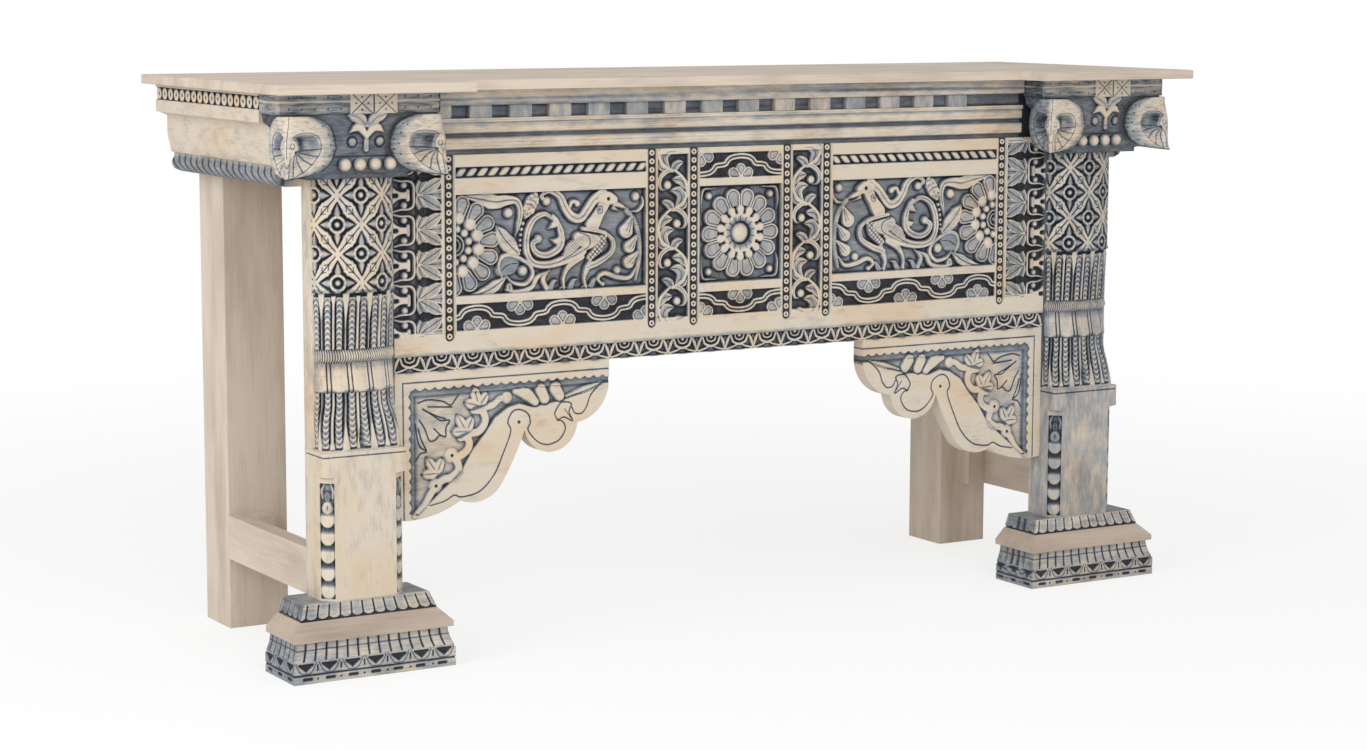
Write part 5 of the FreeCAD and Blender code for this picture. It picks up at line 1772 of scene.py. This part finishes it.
def makeEndCornice(word):
    node, side = "end_cornice_" + word, sideSigns[word]
    low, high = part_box(node)
    inner = min(abs(low.x), abs(high.x))
    path = np.vstack([np.array(cornice["path"], float), smoothPath(cornice["ropeArc"], 8), [cornice["foot"]]])
    run = runAlong(path)
    ropeStart, ropeEnd = run[len(cornice["path"])], run[-2]
    sheet = newSheet(run, evenLines(0, (high.y - low.y) / mm, cornice["step"]))
    u, v = sheet["u"], sheet["v"]
    share = np.clip((u - ropeStart) / (ropeEnd - ropeStart), 0, 1)
    twist = np.abs(((v + cornice["ropeLean"] * share) / cornice["rope"]) % 1 - 0.5) * 2
    strands = np.sqrt(np.clip(1 - twist ** 3, 0, 1)) - 0.7
    sheet["h"] = cornice["ropeRise"] * np.sin(share * math.pi) * strands
    beforeRope = u < ropeStart - 0.1
    roped = ~beforeRope & (u < ropeEnd + 0.1)
    ropeWash = cornice["ropeWash"] + cornice["twistWash"] * smoothStep(0.6, 0.95, twist)
    sheet["wash"] = np.where(roped, ropeWash, cornice["wash"])
    sheet["wash"][(u > run[cornice["coveStart"]]) & beforeRope] = cornice["coveWash"]
    sheet["wash"][-1] = cornice["backWash"]
    middleOut, middleUp = cornice["ropeMiddle"]
    out, level = np.interp(u, run, path[:, 0]), np.interp(u, run, path[:, 1])
    away = np.hypot(out - middleOut, level - middleUp)

    def place(u, v, h):
        x = inner + (out + h * (out - middleOut) / away) * mm
        return side * x, low.y + v * mm, low.z + (level + h * (level - middleUp) / away) * mm

    wrapPiece("endCornice_" + word, sheet, place, carvingDeep, node, cornice["sharp"])


def makeEndStrip(word):
    node, side = "end_bead_strip_" + word, sideSigns[word]
    low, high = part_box(node)
    outer, inner = (high.x, low.x) if side > 0 else (low.x, high.x)
    length, height, lip = (high.y - low.y) / mm, (high.z - low.z) / mm, endStrip["lip"]
    edge = (height - endStrip["channel"]) / 2
    marks = [0, edge - lip, edge + lip]
    marks += [height - mark for mark in marks[::-1]]
    steps = [endStrip[key] for key in ("edgeStep", "lipStep", "channelStep", "lipStep", "edgeStep")]
    sheet = newSheet(evenLines(0, length, endStrip["step"]), joinLines(*zip(marks, marks[1:], steps)))
    inside = np.minimum(sheet["v"] - edge, height - edge - sheet["v"])
    sheet["h"] = -endStrip["depth"] * smoothStep(-0.5, 0.5, inside)
    sheet["wash"] = smoothStep(-0.4, 0.6, inside) * (1 - endStrip["wash"]) + endStrip["wash"]

    def place(u, v, h):
        return outer + side * h * mm, low.y + u * mm, low.z + v * mm

    bm = newBench()
    carveSheet(bm, sheet, place, "X", inner)
    pitch, middle = length / endStrip["beads"], (low.z + high.z) / 2
    x = outer - side * endStrip["sunk"] * mm
    spots = [(x, low.y + (number + 0.5) * pitch * mm, middle) for number in range(endStrip["beads"])]
    addRings(bm, spots, endStrip["ring"] * mm, endStrip["tube"] * mm, "X", 20, 8, endStrip["squash"])
    finishPiece("endBeadStrip_" + word, bm, carvingDeep, node)


for word in sideSigns:
    makeEndCornice(word)
    makeEndStrip(word)


# Plain wood on the solids that show as they are
woodOf = {"top_plank": topWood, "top_ear": topWood, "rear_leg": frameWood["Z"], "side_rail": frameWood["Y"],
          "side_stretcher": frameWood["Y"], "corner_block": frameWood["Z"], "rear_rail": frameWood["X"],
          "top_batten": frameWood["Y"], "apron_backboard": backboardWood, "base_slab": slabWood,
          "screws": steel}
for nodeName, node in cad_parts.items():
    wood = next((m for key, m in woodOf.items() if key in nodeName), frameWood["X"])
    node.data.materials.clear()
    node.data.materials.append(wood)
print("plain wood laid on")


# Camera, floor and light
cameraFacts = {"place": (-2.51681, -4.17038, 1.0526), "yaw": 0.54132, "pitch": 0.1357, "roll": 0.00328,
               "lens": 76.2}
studio = {"floorSize": 60.0, "world": 0.62, "key": 92.0, "keyPlace": (-0.95, -4.35, 2.5), "keySize": 3.6,
          "fill": 85.0, "fillPlace": (-4.2, -1.2, 2.4), "fillSize": 2.5, "aim": (0, 0, 0.45),
          "floor": (0.93, 0.93, 0.93, 1), "fade": (0.9, 3.6, 0.74, 1.0)}


def setCamera():
    yaw, pitch, roll = (cameraFacts[k] for k in ("yaw", "pitch", "roll"))
    data = bpy.data.cameras.new("photoCamera")
    data.lens = cameraFacts["lens"]
    data.clip_end = 200
    camera = bpy.data.objects.new("photoCamera", data)
    aim = Matrix.Rotation(-yaw, 4, "Z") @ Matrix.Rotation(math.pi / 2 - pitch, 4, "X")
    turn = aim @ Matrix.Rotation(roll, 4, "Z")
    camera.matrix_world = Matrix.Translation(cameraFacts["place"]) @ turn
    bpy.context.scene.collection.objects.link(camera)
    bpy.context.scene.camera = camera


def seenRays(tree):
    # 1 for what the camera sees straight, mirrored or through glass
    path = addNode(tree, "LightPath")
    mirrored = addNode(tree, "Math", operation="ADD", use_clamp=True)
    join(tree, path, "Is Camera Ray", mirrored, 0)
    join(tree, path, "Is Glossy Ray", mirrored, 1)
    every = addNode(tree, "Math", operation="ADD", use_clamp=True)
    join(tree, mirrored, "Value", every, 0)
    join(tree, path, "Is Transmission Ray", every, 1)
    return every


def paleStage():
    bm = bmesh.new()
    bmesh.ops.create_grid(bm, x_segments=1, y_segments=1, size=studio["floorSize"])
    mesh = bpy.data.meshes.new("studioFloor")
    bm.to_mesh(mesh)
    bm.free()
    floor = bpy.data.objects.new("studioFloor", mesh)
    bpy.context.scene.collection.objects.link(floor)
    material, tree, shader = newMaterial("studioFloor", 0.9)
    shader.inputs["Base Color"].default_value = studio["floor"]
    glow = addNode(tree, "Emission", Strength=1.0)
    mix = addNode(tree, "MixShader")
    coords = addNode(tree, "TexCoord")
    away = addNode(tree, "VectorMath", operation="LENGTH")
    join(tree, coords, "Object", away, 0)
    fade = addNode(tree, "MapRange", interpolation_type="SMOOTHSTEP")
    for number, value in enumerate(studio["fade"]):
        fade.inputs[number + 1].default_value = value
    join(tree, away, "Value", fade, 0)
    seen = addNode(tree, "Math", operation="MULTIPLY")
    join(tree, seenRays(tree), "Value", seen, 0)
    join(tree, fade, "Result", seen, 1)
    join(tree, seen, "Value", mix, 0)
    tree.links.new(shader.outputs[0], mix.inputs[1])
    tree.links.new(glow.outputs[0], mix.inputs[2])
    tree.links.new(mix.outputs[0], tree.nodes["Material Output"].inputs["Surface"])
    mesh.materials.append(material)


def addLamp(name, place, energy, size):
    data = bpy.data.lights.new(name, "AREA")
    data.energy, data.size = energy, size
    lamp = bpy.data.objects.new(name, data)
    lamp.location = place
    lamp.rotation_euler = (Vector(studio["aim"]) - Vector(place)).to_track_quat("-Z", "Y").to_euler()
    bpy.context.scene.collection.objects.link(lamp)


def whiteWorld():
    world = bpy.data.worlds.new("studioWorld")
    world.use_nodes = True
    tree = world.node_tree
    soft = tree.nodes["Background"]
    soft.inputs["Strength"].default_value = studio["world"]
    soft.inputs["Color"].default_value = (1, 1, 1, 1)
    white = addNode(tree, "Background", Strength=1.0)
    white.inputs["Color"].default_value = (1, 1, 1, 1)
    mix = addNode(tree, "MixShader")
    join(tree, seenRays(tree), "Value", mix, 0)
    tree.links.new(soft.outputs[0], mix.inputs[1])
    tree.links.new(white.outputs[0], mix.inputs[2])
    tree.links.new(mix.outputs[0], tree.nodes["World Output"].inputs["Surface"])
    bpy.context.scene.world = world


setCamera()
paleStage()
whiteWorld()
addLamp("keySoftbox", studio["keyPlace"], studio["key"], studio["keySize"])
addLamp("fillSoftbox", studio["fillPlace"], studio["fill"], studio["fillSize"])
bpy.context.scene.view_settings.view_transform = "Standard"
print("camera, floor and light set")
